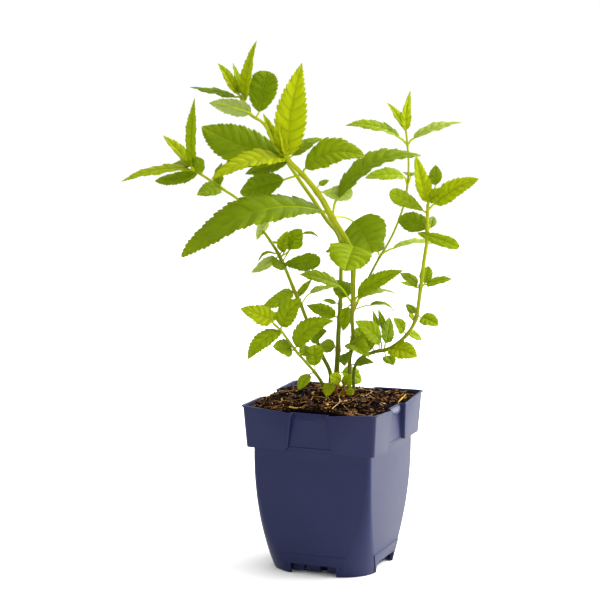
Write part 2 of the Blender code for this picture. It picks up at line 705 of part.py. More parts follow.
BACK = [
    stem((4.4, 4.0, 2.8, 3.2, 2.4, 2.0), [
        (336.5, 404, 13), (336.5, 391, 13), (336.5, 374, 14), (338, 350, 15), (338.5, 333, 16),
        (340.5, 300, 18), (341, 268, 20), (340.8, 244.5, 22), (336.5, 232, 23), (327.5, 221, 24),
        (313.5, 200, 25), (299.5, 180, 26), (286, 160, 27), (268, 130, 28), (261.5, 121.6, 28),
        (249, 113, 28), (240, 95, 28),
    ]),
]
BACK_LEAVES = [
    leaf((245.5, 100), (256.6, 40.7), 12, back=-4, turn=48, arch=0.05, fold=20, stalk=(242, 99), teeth=5,
         tone="bright"),
    leaf((237, 93), (218, 63.5), 10, back=-8, turn=38, fold=20, stalk=(240, 96), teeth=3, tone="bright"),
    leaf((239, 94), (233, 63), 7, back=10, turn=50, fold=20, stalk=(240, 97), teeth=3),
    leaf((235, 96.5), (190, 87), 12, back=8, turn=64, arch=0.01, fold=4, stalk=(240, 98), teeth=4,
         tone="dark"),
    leaf((251, 113), (209, 103), 14, back=-14, turn=145, arch=0.06, bend=-0.02, fold=-8, stalk=(252, 115),
         teeth=4, tone="pale"),
    leaf((259, 112), (266.5, 71), 21, back=10, turn=10, fold=8, stalk=(256, 118), teeth=6, point=0.55,
         widest=0.45, tone="dark"),
    leaf((335.5, 316.5), (306.5, 305), 11, back=12, turn=30, arch=0.05, stalk=(339, 318), teeth=4),
    leaf((335, 347), (319, 345), 10, back=18, turn=10, stalk=(338, 350), teeth=3, tone="dark"),
    leaf((336, 302.5), (323, 300.5), 5, back=-6, turn=45, stalk=(340.4, 305), teeth=3, tone="dark"),
    leaf((342, 372), (362, 381), 14, lift=8, back=14, turn=36, arch=0.08, stalk=(337, 374), teeth=4,
         point=0.8),
]

LEFT = [
    stem((3.4, 2.7, 1.9), [
        (330.5, 404, 3), (330.5, 391, 3), (330, 372, 5), (322, 355, 8), (316.5, 340, 11), (306.5, 319, 15),
        (301, 305, 18), (295, 292, 21), (286, 270, 25), (279, 255, 28), (271, 242, 31), (262.5, 230, 34),
        (242, 203, 39), (222.8, 189, 43), (202, 175, 46), (194, 170, 47),
    ]),
]
LEFT_LEAVES = [
    leaf((193.5, 167), (194.6, 98.3), 12, back=-6, turn=44, arch=0.03, fold=20, stalk=(196, 171), teeth=5),
    leaf((190.5, 166), (163, 135.4), 11, back=8, turn=42, fold=20, stalk=(195, 170), teeth=4,
         tone="bright"),
    leaf((190, 169), (121.5, 181.4), 14, back=-16, turn=60, arch=0.07, fold=6, stalk=(195, 170.5), teeth=5,
         tone="bright"),
    leaf((198, 172), (155, 181), 12.5, back=10, turn=38, arch=-0.04, fold=-8, stalk=(200, 174), teeth=4,
         point=0.8, tone="dark"),
    leaf((195, 169), (204, 160.5), 13, back=-8, turn=15, stalk=(197, 171.5), teeth=3, point=0.7,
         tone="dark"),
    leaf((191, 166), (172, 164), 11, back=26, turn=50, stalk=(197, 171), teeth=3, tone="dark"),
    leaf((220, 187.5), (197, 195), 13, back=-14, turn=30, stalk=(222.8, 189), teeth=4, tone="dark"),
    leaf((220.5, 184.5), (222, 162.5), 10, back=12, turn=40, bend=-0.1, stalk=(222.8, 188), teeth=3,
         tone="dark"),
    leaf((268, 221), (256.5, 240), 10, back=-4, turn=130, fold=16, stalk=(262, 229), teeth=3, tone="pale"),
    leaf((275, 253), (258, 262), 6, back=-6, turn=68, arch=0.22, stalk=(278.5, 254), teeth=3),
    leaf((276, 258), (251, 272.5), 10, back=-10, turn=140, arch=-0.02, stalk=(279, 256), teeth=3,
         tone="pale"),
    leaf((281.5, 252), (287.5, 231), 10, back=-6, turn=36, fold=20, stalk=(280, 255), teeth=3,
         tone="bright"),
    leaf((290, 249.5), (302, 229.5), 15, back=-4, turn=20, arch=0.08, bend=-0.06, fold=-20,
         stalk=(285.5, 261), teeth=4, point=0.8),
    leaf((303, 233), (319, 237.5), 4, lift=-2, back=-2, turn=60, arch=0.15, stalk=(287, 255), teeth=3,
         tone="dark"),
    leaf((289.5, 249), (267, 242), 7, back=12, turn=66, arch=0.08, stalk=(283, 256.5), teeth=3,
         tone="dark"),
    leaf((284, 265), (319.5, 264.5), 15, back=-22, turn=32, arch=0.03, bend=-0.03, fold=8, stalk=(284, 264),
         teeth=5, widest=0.6, point=0.7, tone="dark"),
    leaf((283, 263), (273.5, 267), 13, back=-10, turn=30, fold=8, stalk=(283.5, 263.5), teeth=3, point=0.8,
         tone="dark"),
    leaf((293, 292.5), (259.5, 310.5), 10.5, back=-16, turn=34, arch=0.0, fold=6, stalk=(295.5, 293),
         teeth=4),
    leaf((299, 296), (312, 279), 6, back=6, turn=36, stalk=(297, 297), teeth=3),
    leaf((310, 293), (334, 287), 7, back=8, turn=56, arch=0.08, stalk=(301, 305), teeth=3, tone="pale"),
    leaf((292.5, 292), (272.5, 306), 11, back=30, turn=20, stalk=(293, 287), teeth=3, tone="dark"),
    leaf((310, 338), (327, 331), 12, back=-12, turn=36, arch=0.06, fold=-12, stalk=(314, 336), teeth=4,
         tone="dark"),
    leaf((331, 383), (326.5, 397), 9, lift=-12, back=-20, turn=20, arch=0.04, stalk=(330.5, 381), teeth=3,
         tone="bright"),
]

RIGHT = [
    stem((2.8, 2.4, 2.4, 2.8, 2.8, 2.0), [
        (354, 404, 12), (354, 391, 12), (353.5, 377, 12), (356, 364, 11), (363, 356.5, 9), (376, 351.5, 6),
        (388, 349, 3), (402.7, 339, 0), (411, 329, -2), (416.5, 317, -3), (419, 301, -5), (420.6, 288, -6),
        (424, 261, -8), (427, 242, -9), (427, 232, -10), (427.6, 212, -11), (428, 203, -12),
    ]),
]
RIGHT_LEAVES = [
    leaf((428, 202), (415.5, 155), 11.5, back=-4, turn=18, bend=-0.03, fold=18, teeth=5, stalk=(428, 205),
         tone="bright"),
    leaf((434, 204), (478.6, 179), 15, back=-10, turn=30, bend=-0.04, stalk=(428, 212), teeth=5,
         point=0.85),
    leaf((429, 200), (446, 189), 9, back=-18, turn=30, stalk=(428, 206), teeth=3, tone="bright"),
    leaf((424, 211), (389.5, 193), 11.5, back=-8, turn=20, arch=0.0, bend=0.03, fold=4, stalk=(427.6, 214),
         teeth=4, widest=0.66, point=0.9),
    leaf((426, 229), (398, 218.5), 16, back=14, turn=22, arch=0.03, bend=0.04, stalk=(427, 232), teeth=5,
         point=0.75, tone="dark"),
    leaf((430, 228), (433, 216), 7.5, back=24, turn=15, stalk=(427, 231), teeth=3, tone="dark"),
    leaf((435.5, 185), (435.5, 165), 10, back=10, turn=20, stalk=(428, 207), teeth=3, tone="dark"),
    leaf((418, 232.5), (459, 247.5), 10, back=-16, turn=30, arch=0.03, fold=6, stalk=(427, 240), teeth=4,
         widest=0.6, point=0.8),
    leaf((417.5, 284.5), (400, 273), 9, back=6, turn=40, arch=0.06, stalk=(420.6, 288), teeth=3,
         tone="dark"),
    leaf((418, 287), (400.5, 282.5), 6, back=-6, turn=58, arch=0.02, stalk=(420.6, 288.5), teeth=3),
    leaf((425, 283), (428, 266), 9.5, back=10, turn=20, stalk=(421, 287), teeth=3, point=0.8),
    leaf((426, 284), (452, 279), 10, back=-8, turn=52, arch=0.04, fold=4, stalk=(420.6, 288), teeth=3),
    leaf((415, 313), (406, 304), 7, back=4, turn=32, stalk=(417, 317), teeth=3, tone="dark"),
    leaf((414, 321), (409.5, 311.5), 5, back=8, turn=35, stalk=(416, 319), teeth=3, tone="bright"),
    leaf((421, 317), (438, 325.5), 12, back=-10, turn=32, arch=0.06, stalk=(417, 316), teeth=3, point=0.8),
    leaf((404, 332), (393.5, 318), 10, back=-4, turn=36, arch=0.08, stalk=(407, 334), teeth=3),
    leaf((408, 333), (422, 339.7), 9, back=8, turn=50, arch=0.06, stalk=(406, 336), teeth=3),
    leaf((390, 348), (417, 357), 16, back=-16, turn=32, arch=0.08, stalk=(387, 349), teeth=4, point=0.8,
         tone="bright"),
    leaf((386, 356), (393.5, 365), 9, back=-10, turn=30, stalk=(384, 350), teeth=3, point=0.8),
    leaf((385.5, 343), (389.5, 317), 10.5, back=16, turn=-24, stalk=(384, 350), teeth=4, tone="dark"),
    leaf((381, 341), (355, 321), 15, back=-14, turn=34, arch=0.06, stalk=(381, 350.5), teeth=4,
         tone="bright"),
    leaf((373, 348), (363, 337), 11, back=-6, turn=26, stalk=(374, 352), teeth=3),
    leaf((385, 332), (378.4, 309.3), 5, lift=10, back=12, turn=20, stalk=(384, 350), teeth=3, tone="dark"),
    leaf((378, 330), (372.6, 310), 4, lift=12, back=16, turn=20, stalk=(379, 351), teeth=3, tone="dark"),
]

LOW_LEFT = [
    stem((3.0, 1.8), [
        (325, 404, -5), (325, 394, -5), (322.5, 384, -6), (315, 372.6, -10), (303.5, 359.6, -15),
        (295, 349.6, -20), (282, 332, -27), (273, 323, -32),
    ]),
]
LOW_LEFT_LEAVES = [
    leaf((273, 320.5), (240.3, 308.5), 15, back=-4, turn=28, teeth=4, tone="bright"),
    leaf((281, 326.5), (301.5, 298.5), 14.5, back=-6, turn=15, arch=0.08, bend=-0.05, stalk=(282, 332),
         teeth=4, point=0.9),
    leaf((280.5, 331), (248, 359), 13, back=-14, turn=30, arch=0.12, bend=0.04, stalk=(282, 332.5), teeth=5,
         point=0.85),
    leaf((272, 322), (264, 306), 10, back=16, turn=30, stalk=(275, 325), teeth=3, tone="bright"),
    leaf((292, 350), (273, 346.5), 13, back=-14, turn=30, arch=0.04, stalk=(295, 350), teeth=3, point=0.85,
         tone="dark"),
    leaf((296, 347), (334, 321), 15, back=-14, turn=20, arch=0.10, bend=-0.13, fold=8, stalk=(295, 349.6),
         teeth=5),
    leaf((309, 374), (298.5, 390), 8.5, back=-8, turn=30, arch=0.06, stalk=(315, 373), teeth=3, point=0.8),
    leaf((315, 366), (313, 345), 14, back=-2, turn=20, stalk=(315, 373), teeth=4, point=0.6, widest=0.45),
    leaf((300, 354), (316, 349), 10, back=18, turn=25, stalk=(298, 353), teeth=3, tone="dark"),
]

CROWN = [
    stem((2.4, 1.6), [
        (343, 404, -7), (343, 396, -7), (344, 387, -8), (345, 378, -9),
    ]),
]
CROWN_LEAVES = [
    leaf((341, 380.5), (329.5, 376), 8.5, back=-9, turn=15, arch=0.04, teeth=3, stalk=(344, 386), point=0.7,
         tone="bright"),
    leaf((346, 385), (351, 374.5), 9, back=-10, turn=25, teeth=3, stalk=(344.5, 382), tone="bright"),
    leaf((346.5, 391), (354, 392), 5, back=-10, turn=20, teeth=3, stalk=(343.5, 391), point=0.6,
         tone="bright"),
]

LEAFY_STEMS = {
    "stem_main": (MAIN, MAIN_LEAVES),
    "stem_back": (BACK, BACK_LEAVES),
    "stem_left": (LEFT, LEFT_LEAVES),
    "stem_right": (RIGHT, RIGHT_LEAVES),
    "stem_low_left": (LOW_LEFT, LOW_LEFT_LEAVES),
    "stem_crown": (CROWN, CROWN_LEAVES),
}


def main():
    for obj in list(bpy.data.objects):
        bpy.data.objects.remove(obj)
    make_pot()
    make_soil([stems[0] for stems, _ in LEAFY_STEMS.values()])
    for name, (stems, leaves) in LEAFY_STEMS.items():
        make_leafy_stem(name, stems, leaves)


main()
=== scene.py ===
"""The looks of a potted catmint: toothed, veined leaves on square stems, rough peat, and a satin pot.

Sizes of the plant, the soil and the pot are in millimetres and turn into metres where a mesh is made. The
origin is the middle of the pot's underside, on the surface that it stands on.
"""

import math
from types import SimpleNamespace

import bmesh
import bpy
import numpy as np
from mathutils import Matrix, Vector, noise


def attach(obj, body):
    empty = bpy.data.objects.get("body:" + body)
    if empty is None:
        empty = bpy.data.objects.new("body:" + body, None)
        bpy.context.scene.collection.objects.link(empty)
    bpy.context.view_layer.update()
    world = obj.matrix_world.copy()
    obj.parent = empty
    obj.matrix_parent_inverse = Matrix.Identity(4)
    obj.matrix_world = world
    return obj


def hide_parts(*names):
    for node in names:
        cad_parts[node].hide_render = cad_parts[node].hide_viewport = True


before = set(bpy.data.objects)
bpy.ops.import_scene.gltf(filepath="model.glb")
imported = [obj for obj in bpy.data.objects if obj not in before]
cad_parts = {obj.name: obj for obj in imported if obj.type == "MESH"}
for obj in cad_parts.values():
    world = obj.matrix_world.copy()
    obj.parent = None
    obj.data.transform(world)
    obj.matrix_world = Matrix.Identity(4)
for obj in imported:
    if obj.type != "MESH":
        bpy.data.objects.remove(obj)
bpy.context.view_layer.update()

MM = 0.001
PLANT_SEED = 7

# The pot
RIM_SIDE = 100.3
POT_HEIGHT = 121.2
COLLAR_HEIGHT = 30.2
COLLAR_FOOT_SIDE = 96.2
BODY_TOP_SIDE = 88.6
BODY_FOOT_SIDE = 77.6
BODY_BOW = 3.1
WALL = 1.2
LIP_OUT = 1.1
LIP_HEIGHT = 1.4
LIP_UNDERCUT = 0.5
COLLAR_CORNER = 2.6
COLLAR_INNER_CORNER = 1.7
BODY_CORNER = 3.0
FOOT_CORNER_EXTRA = 23.0
CORNER_GROWTH = 2.5
FOOT_HEIGHTS = (0.0, 3.5, 7.5, 11.0)
BODY_HEIGHTS = (15.0, 20.0, 25.0, 31.0, 37.0, 43.0, 50.0, 57.0, 64.0, 71.0, 78.0, 84.0)
CORNER_STEPS = 9
PAD_HEIGHT = 15.0
PAD_HALF_WIDTH = 25.0
PAD_FOOT_HALF_WIDTH = 17.5
PAD_PROUD = 0.5
FLOOR = 9.6
FLOOR_THICK = 1.6
PAN_SIDE = 48.0
PAN_CORNER = 2.0
SKIRT_WALL = 2.0
NOTCH_WIDTH = 34.5
NOTCH_HEIGHT = 7.5
WEBS = ((-17.6, -8.6), (-7.4, 3.6), (8.9, 17.6))
WEB_PLACE = 35.0
WEB_THICK = 1.4
WEB_FOOT = 1.8
DRAIN_LENGTH = 11.0
DRAIN_WIDTH = 4.0
DRAIN_PLACE = 9.0
RECESS_TOP_WIDTH = 22.8
RECESS_FOOT_WIDTH = 34.0
RECESS_FLARE = 1.2
RECESS_PLANE = 45.6
FLAP_ROUNDING = 3.0
FLAP_EDGE = 1.3
RIM_SAGS = (3.0, 3.0, 0.4, 0.4)
SAG_HALF_WIDTH = 14.0
GRIP_HALF_WIDTH = 12.4
GRIP_DEPTH = 2.6
GRIP_EDGE = 1.5
GRIP_LEAN = 0.6
GRIP_LEAST = 0.1
GRIP_STEPS = 28
PAST = 5.0
EDGE_ROUND = 0.28

# The soil
SOIL_LEVEL = 116.9
SOIL_MOUND = 6.3
MOUND_RADIUS = 26.0
SOIL_CELLS = 11
SOIL_BLOCK_HALF = 54.0
# Each wave of the soil's surface: its height, how fast it turns along X and along Y, and its start
SOIL_WAVES = (
    (0.45, 0.21, 0.17, 0.7), (0.45, 0.21, -0.17, 1.9), (0.6, 0.47, -0.33, 2.1), (0.4, 0.52, 0.71, 1.57),
)
SOIL_GAP = 0.35
SOIL_PITCH = 0.55
SOIL_DEPTH = 2.6
# A heap by the left wall, and beside it a patch of painted shade that stands for a hollow: the middle, the
# reach along X and Y, and the rise
SOIL_HEAP = (-44.0, -6.0, 5.0, 24.0, 2.6)
SOIL_HOLLOW_SHADE = (-24.0, 6.0, 10.0, 15.0)
# The rough top: its rise above the coarse shape, what its roughness loses, and the roughness that is high
SOIL_RISE = 0.35
ROUGH_LOSS = 0.35
ROUGH_HIGH = 3.6
# How many of each kind of bit lie on the soil
CRUMBS = 1700
BARK_BITS = 80
FIBRES = 520
THIN_ROOTS = 34
LEAF_BITS = 9
STRAND_STEPS = 10

# The view that the plant's places were read in: a 600 x 600 picture, the camera 1.6 m away,
# turned 22 degrees round the pot and looking 9 degrees down.
PICTURE_SIZE = 600.0
VIEW_TURN = math.radians(-22.0)
VIEW_DOWN = math.radians(9.0)
TURN_COS, TURN_SIN = math.cos(VIEW_TURN), math.sin(VIEW_TURN)
DOWN_COS, DOWN_SIN = math.cos(VIEW_DOWN), math.sin(VIEW_DOWN)
VIEW_DISTANCE = 1600.0
VIEW_FOCAL = 2247.0
VIEW_AIM_ACROSS = -24.25
VIEW_AIM_UP = 192.0
SENSOR = 36.0

# The plant
BLADE_WIDEST = 0.36
BLADE_FULLNESS = 1.6
BLADE_THICK = 0.42
TOOTH_FORWARD = 0.52
TOOTH_STEPS = ((0.0, 0.0), (0.25, 0.55), (0.5, 0.88), (0.72, 1.0), (0.88, 0.72))
BLADE_COLUMNS = (0.0, 0.045, 0.13, 0.26, 0.41, 0.57, 0.73, 0.88, 1.0)
VEIN_LEAN = 0.78
NEAR_STEM = 1.5
STEM_SIDES = 16
STEM_STEP = 1.4
STEM_SQUARENESS = 0.16
JOINT_SWELL = 0.20
JOINT_REACH = 1.7
HAIRS_A_STEP = 26
HAIR_RADIUS = 0.045
# A blade's relief: the depth and reach of the midrib's groove, and as shares of the blade's width the swell
# between its veins, the arch of each half, and the waves and ruffles of its edge. Two of these have a most,
# in millimetres. The twist is a slope.
GROOVE = 0.30
GROOVE_REACH = 0.7
QUILT = 0.042
QUILT_MOST = 0.85
HALF_ARCH = 0.036
WAVE = 0.048
RUFFLE = 0.030
RUFFLE_MOST = 0.7
TWIST = 0.16
# What a blade's finish reads at each point
LEAF_MARKS = ("tone", "pale", "under", "share", "across", "phase", "gap", "rib", "run", "off", "chance")

# The stage, in metres and watts
FLOOR_RADIUS = 25.0
FLOOR_SIDES = 96
SKY_STRENGTH = 1.15
AIM_HEIGHT = 0.2
# Each light: its power, its size, and its place across, away and up from the aim, along the view's axes
LIGHTS = {"key": (60.0, 1.6, (1.15, 0.1, 0.8)), "rear": (32.0, 1.2, (0.9, 1.3, 0.9))}


# Places


def turned(across, away, up):
    """A vector of the view's own axes along the pot's axes."""
    return np.array((TURN_COS * across + TURN_SIN * away, TURN_COS * away - TURN_SIN * across, up))


def seen_from(point):
    """A point along the view's own axes: across, away and up."""
    x, y, z = point
    return TURN_COS * x - TURN_SIN * y, TURN_SIN * x + TURN_COS * y, z


def seen(across, down, away):
    """The point that the view shows at this place of the picture, so far behind the pot's axis."""
    right = (across - PICTURE_SIZE / 2) / VIEW_FOCAL
    up = (PICTURE_SIZE / 2 - down) / VIEW_FOCAL
    reach = (away + VIEW_DISTANCE * DOWN_COS) / (DOWN_COS + up * DOWN_SIN)
    x = VIEW_AIM_ACROSS + reach * right
    z = VIEW_AIM_UP + VIEW_DISTANCE * DOWN_SIN + reach * (up * DOWN_COS - DOWN_SIN)
    return turned(x, away, z)


def picture_place(point):
    """Where the view shows a point, the reverse of seen."""
    x, away, z = seen_from(point)
    x -= VIEW_AIM_ACROSS
    z -= VIEW_AIM_UP
    depth = VIEW_DISTANCE + away * DOWN_COS - z * DOWN_SIN
    up = z * DOWN_COS + away * DOWN_SIN
    middle = PICTURE_SIZE / 2
    return np.array((middle + VIEW_FOCAL * x / depth, middle - VIEW_FOCAL * up / depth))


TO_VIEWER = turned(0.0, -DOWN_COS, DOWN_SIN)


def unit(vectors):
    """Vectors of length 1, along the last axis."""
    vectors = np.asarray(vectors, float)
    return vectors / np.maximum(np.linalg.norm(vectors, axis=-1, keepdims=True), 1e-9)


# Pieces


class Body:
    """Gathers the points and faces of a piece, and the marks at its points that its finish reads."""

    def __init__(self, *marks):
        self.points = []
        self.faces = []
        self.marks = {name: [] for name in marks}
        self.count = 0

    def add(self, points, faces, **marks):
        points = np.asarray(points, float).reshape(-1, 3)
        self.points.append(points)
        self.faces += [tuple(self.count + i for i in face) for face in faces]
        for name, rows in self.marks.items():
            rows.append(np.broadcast_to(np.asarray(marks.get(name, 0.0), float), len(points)).ravel())
        self.count += len(points)

    def piece(self, name, finish, sharp=50.0):
        mesh = bpy.data.meshes.new(name)
        mesh.from_pydata(np.concatenate(self.points) * MM, [], self.faces)
        for mark, rows in self.marks.items():
            values = np.concatenate(rows).astype(np.float32)
            mesh.attributes.new(mark, "FLOAT", "POINT").data.foreach_set("value", values)
        return placed(name, mesh, finish, sharp)


def placed(name, mesh, finish, sharp):
    """The object of a mesh: smooth, but for edges sharper than this angle."""
    mesh.shade_smooth()
    mesh.set_sharp_from_angle(angle=math.radians(sharp))
    mesh.materials.clear()
    mesh.materials.append(finish)
    obj = bpy.data.objects.new(name, mesh)
    bpy.context.scene.collection.objects.link(obj)
    return obj


def rows_to_faces(rows, columns, closed=False):
    """The four-sided faces between neighbouring rows of points."""
    faces = []
    last = columns if closed else columns - 1
    for row in range(rows - 1):
        for column in range(last):
            after = (column + 1) % columns
            low = row * columns
            high = low + columns
            faces.append((low + column, low + after, high + after, high + column))
    return faces


def along_path(path):
    """The directions along a path of points, and two directions square to it, carried without twist."""
    along = unit(np.gradient(path, axis=0))
    across = np.zeros_like(along)
    first = np.cross(along[0], (0.0, 0.0, 1.0))
    if np.linalg.norm(first) < 0.2:
        first = np.cross(along[0], (0.0, 1.0, 0.0))
    held = unit(first)
    for i, direction in enumerate(along):
        held = unit(held - direction * held.dot(direction))
        across[i] = held
    return along, across, np.cross(along, across)


def tube(path, radii, sides, square=0.0):
    """A closed tube along a path. With square, its four corners stand out by that share."""
    _, across, other = along_path(path)
    angles = np.arange(sides) * 2 * math.pi / sides
    shape = 1 + square * (np.cos(4 * angles) - 1) / 2
    out = np.cos(angles)[:, None] * across[:, None, :] + np.sin(angles)[:, None] * other[:, None, :]
    rings = path[:, None, :] + out * (np.asarray(radii)[:, None] * shape[None, :])[:, :, None]
    faces = rows_to_faces(len(path), sides, closed=True)
    faces.append(tuple(reversed(range(sides))))
    faces.append(tuple(range((len(path) - 1) * sides, len(path) * sides)))
    return rings.reshape(-1, 3), faces


def smooth_path(points, step):
    """A smooth curve through points, as points about a step apart, and each one's share of the way."""
    points = np.asarray(points, float)
    extended = np.concatenate([[2 * points[0] - points[1]], points, [2 * points[-1] - points[-2]]])
    path = []
    shares = []
    for i in range(len(points) - 1):
        before, start, end, after = extended[i : i + 4]
        count = max(2, round(np.linalg.norm(end - start) / step))
        for t in np.arange(count) / count:
            bend = 2 * start + (end - before) * t
            bend += (2 * before - 5 * start + 4 * end - after) * t * t
            bend += (3 * start - before - 3 * end + after) * t**3
            path.append(bend / 2)
            shares.append((i + t) / (len(points) - 1))
    path.append(points[-1])
    shares.append(1.0)
    return np.array(path), np.array(shares)


# Finishes


def shade(red, green, blue):
    """A colour given as a screen shows it, 0 to 255, as the light that a surface sends back."""
    return tuple(
        ((one / 255 + 0.055) / 1.055) ** 2.4 if one > 10 else one / 3294.6 for one in (red, green, blue)
    )


class Value:
    """A number or colour that varies over a surface, with sums written as Python writes them."""

    def __init__(self, look, socket):
        self.look = look
        self.socket = socket

    def sum(self, kind, *terms, clamp=False):
        return self.look.node("ShaderNodeMath", 0, dict(enumerate(terms)), operation=kind, use_clamp=clamp)

    def __add__(self, other):
        return self.sum("ADD", self, other)

    def __radd__(self, other):
        return self.sum("ADD", other, self)

    def __sub__(self, other):
        return self.sum("SUBTRACT", self, other)

    def __rsub__(self, other):
        return self.sum("SUBTRACT", other, self)

    def __mul__(self, other):
        return self.sum("MULTIPLY", self, other)

    def __abs__(self):
        return self.sum("ABSOLUTE", self)

    def fract(self):
        return self.sum("FRACT", self)

    def held(self):
        """The value, held between 0 and 1."""
        return self.sum("ADD", self, 0.0, clamp=True)

    def largest(self, other):
        return self.sum("MAXIMUM", self, other)

    def ramp(self, start, end):
        """0 up to the value start, 1 from the value end, and a smooth rise between them."""
        values = {"Value": self, "From Min": start, "From Max": end}
        return self.look.node("ShaderNodeMapRange", "Result", values, interpolation_type="SMOOTHSTEP")


class Look:
    """A surface finish, and what its pattern is made from."""

    def __init__(self, name):
        self.material = bpy.data.materials.new(name)
        self.material.use_nodes = True
        self.tree = self.material.node_tree
        self.tree.nodes.clear()

    def set(self, socket, value):
        if isinstance(value, Value):
            self.tree.links.new(value.socket, socket)
        elif isinstance(value, tuple) and len(value) == 3 and socket.type == "RGBA":
            socket.default_value = (*value, 1.0)
        else:
            socket.default_value = value

    def node(self, kind, output, values, **settings):
        """What a new node of this kind gives at this output, from these values and settings."""
        node = self.tree.nodes.new(kind)
        for name, setting in settings.items():
            setattr(node, name, setting)
        for name, value in values.items():
            self.set(node.inputs[name], value)
        return Value(self, node.outputs[output])

    def mark(self, name):
        return self.node("ShaderNodeAttribute", "Fac", {}, attribute_type="GEOMETRY", attribute_name=name)

    def place(self):
        """The place on the object, in metres."""
        return self.node("ShaderNodeTexCoord", "Object", {})

    def height(self):
        """How high the place on the object is, in metres."""
        return self.node("ShaderNodeSeparateXYZ", "Z", {"Vector": self.place()})

    def scaled(self, vector, factor):
        return self.node("ShaderNodeVectorMath", "Vector", {0: vector, 1: factor}, operation="MULTIPLY")

    def vector(self, x, y, z):
        return self.node("ShaderNodeCombineXYZ", "Vector", {"X": x, "Y": y, "Z": z})

    def clouds(self, vector, size, detail=3.0, rough=0.5):
        """Soft noise from 0 to 1, with clouds of this size in the vector's own unit."""
        values = {"Vector": vector, "Scale": 1 / size, "Detail": detail, "Roughness": rough}
        return self.node("ShaderNodeTexNoise", "Fac", values)

    def cells(self, vector, size, feature="F1"):
        """How far each place is from the middle, or the edge, of its cell, with cells of this size."""
        values = {"Vector": vector, "Scale": 1 / size}
        return self.node("ShaderNodeTexVoronoi", "Distance", values, feature=feature)

    def mix(self, share, first, second):
        """The first colour, with this share of the second."""
        return self.node("ShaderNodeMix", 2, {0: share, 6: first, 7: second}, data_type="RGBA")

    def bump(self, height, distance, strength):
        values = {"Height": height, "Distance": distance, "Strength": strength}
        return self.node("ShaderNodeBump", "Normal", values)

    def done(self, colour, roughness, normal=None, through=None, share=0.0, specular=0.5):
        """The finished material. With through, this share of light of that colour comes through it."""
        values = {"Base Color": colour, "Roughness": roughness, "Specular IOR Level": specular}
        if normal:
            values["Normal"] = normal
        surface = self.node("ShaderNodeBsdfPrincipled", 0, values)
        if through:
            light = self.node("ShaderNodeBsdfTranslucent", 0, {"Color": through})
            surface = self.node("ShaderNodeMixShader", 0, {0: share, 1: surface, 2: light})
        self.set(self.tree.nodes.new("ShaderNodeOutputMaterial").inputs["Surface"], surface)
        return self.material


def leaf_finish(name):
    look = Look(name)
    tone, pale, under, share, across, phase, gap, rib, run, off, chance = map(look.mark, LEAF_MARKS)
    flat = look.vector(run, off, chance * 40)
    warped = look.clouds(flat, 2.2, 2.0) - 0.5

    # Veins: the midrib, the side veins that curve forward, and the net between them
    middle = 1 - abs(off).ramp(0.12, 0.50)
    apart = (phase + warped * 0.10).fract() - 0.5
    side_gap = (0.5 - abs(apart)) * gap
    side_vein = (1 - side_gap.ramp(0.03, 0.26)) * (1 - abs(across).ramp(0.75, 1.0)) * share.ramp(0.0, 0.05)
    net = 1 - look.cells(flat, 1.15, "DISTANCE_TO_EDGE").ramp(0.0, 0.16)
    veins = middle.largest(side_vein * 0.8)

    # Green: dark when old, yellow and bright when young
    old = look.mix(tone.ramp(0.0, 0.45), shade(82, 104, 0), shade(130, 150, 0))
    green = look.mix(tone.ramp(0.45, 1.0), old, shade(178, 184, 0))
    patches = look.clouds(flat, 9.0, 3.0)
    green = look.mix((patches - 0.38) * 0.8, green, shade(150, 162, 0))
    green = look.mix(share.ramp(0.75, 1.0) * 0.20, green, shade(160, 166, 0))
    # Painted shade: the blade is painted darker just beside each side vein, where shade falls in the sunken
    # vein's groove
    between = 1 - side_gap.ramp(0.0, 1.1)
    green = look.mix(between * 0.42 * (1 - veins), green, shade(58, 86, 0))
    green = look.mix(veins * 0.42 + net * 0.10, green, shade(190, 200, 50))
    dull = look.mix(0.55, green, shade(122, 146, 52))
    below = look.mix(veins * 0.55, dull, shade(184, 194, 92))
    colour = look.mix(under, green, below)
    colour = look.mix(rib, colour, shade(160, 174, 10))
    colour = look.mix(pale * (0.35 + under * 0.3), colour, shade(186, 196, 120))
    edge = abs(across).ramp(0.93, 1.0) * (1 - rib) * 0.25
    colour = look.mix(edge, colour, shade(180, 186, 20))

    relief = (1 - veins * 0.9) - net * 0.45 + look.clouds(flat, 0.5, 2.0) * 0.25
    relief = relief + look.clouds(flat, 2.6, 2.0) * 1.3
    roughness = 0.50 + under * 0.22 + look.clouds(flat, 3.0) * 0.12
    normal = look.bump(relief, 0.00065, 0.9)
    return look.done(colour, roughness, normal, shade(188, 208, 0), 0.32 - rib * 0.24, specular=0.07)


def stem_finish(name):
    look = Look(name)
    height = look.mark("share")
    joint = look.mark("joint")
    place = look.place()
    grain = look.clouds(look.scaled(place, (1400.0, 1400.0, 160.0)), 1.0, 3.0)
    low = look.mix(grain, shade(66, 78, 0), shade(98, 102, 6))
    colour = look.mix(height.ramp(0.05, 0.5), low, shade(126, 136, 0))
    colour = look.mix(height.ramp(0.5, 1.0), colour, shade(148, 154, 4))
    colour = look.mix(joint * 0.4 * (1 - height * 0.6), colour, shade(120, 88, 34))
    colour = look.mix(look.clouds(place, 0.004, 3.0).ramp(0.5, 0.75) * 0.15, colour, shade(128, 104, 40))
    normal = look.bump(grain, 0.0002, 0.6)
    return look.done(colour, 0.5 + grain * 0.2, normal, shade(160, 180, 0), 0.12, specular=0.1)


def hair_finish():
    look = Look("leaf_hairs")
    colour = look.mix(look.clouds(look.place(), 0.006), shade(176, 188, 96), shade(204, 210, 140))
    return look.done(colour, 0.5, None, shade(230, 235, 200), 0.35)


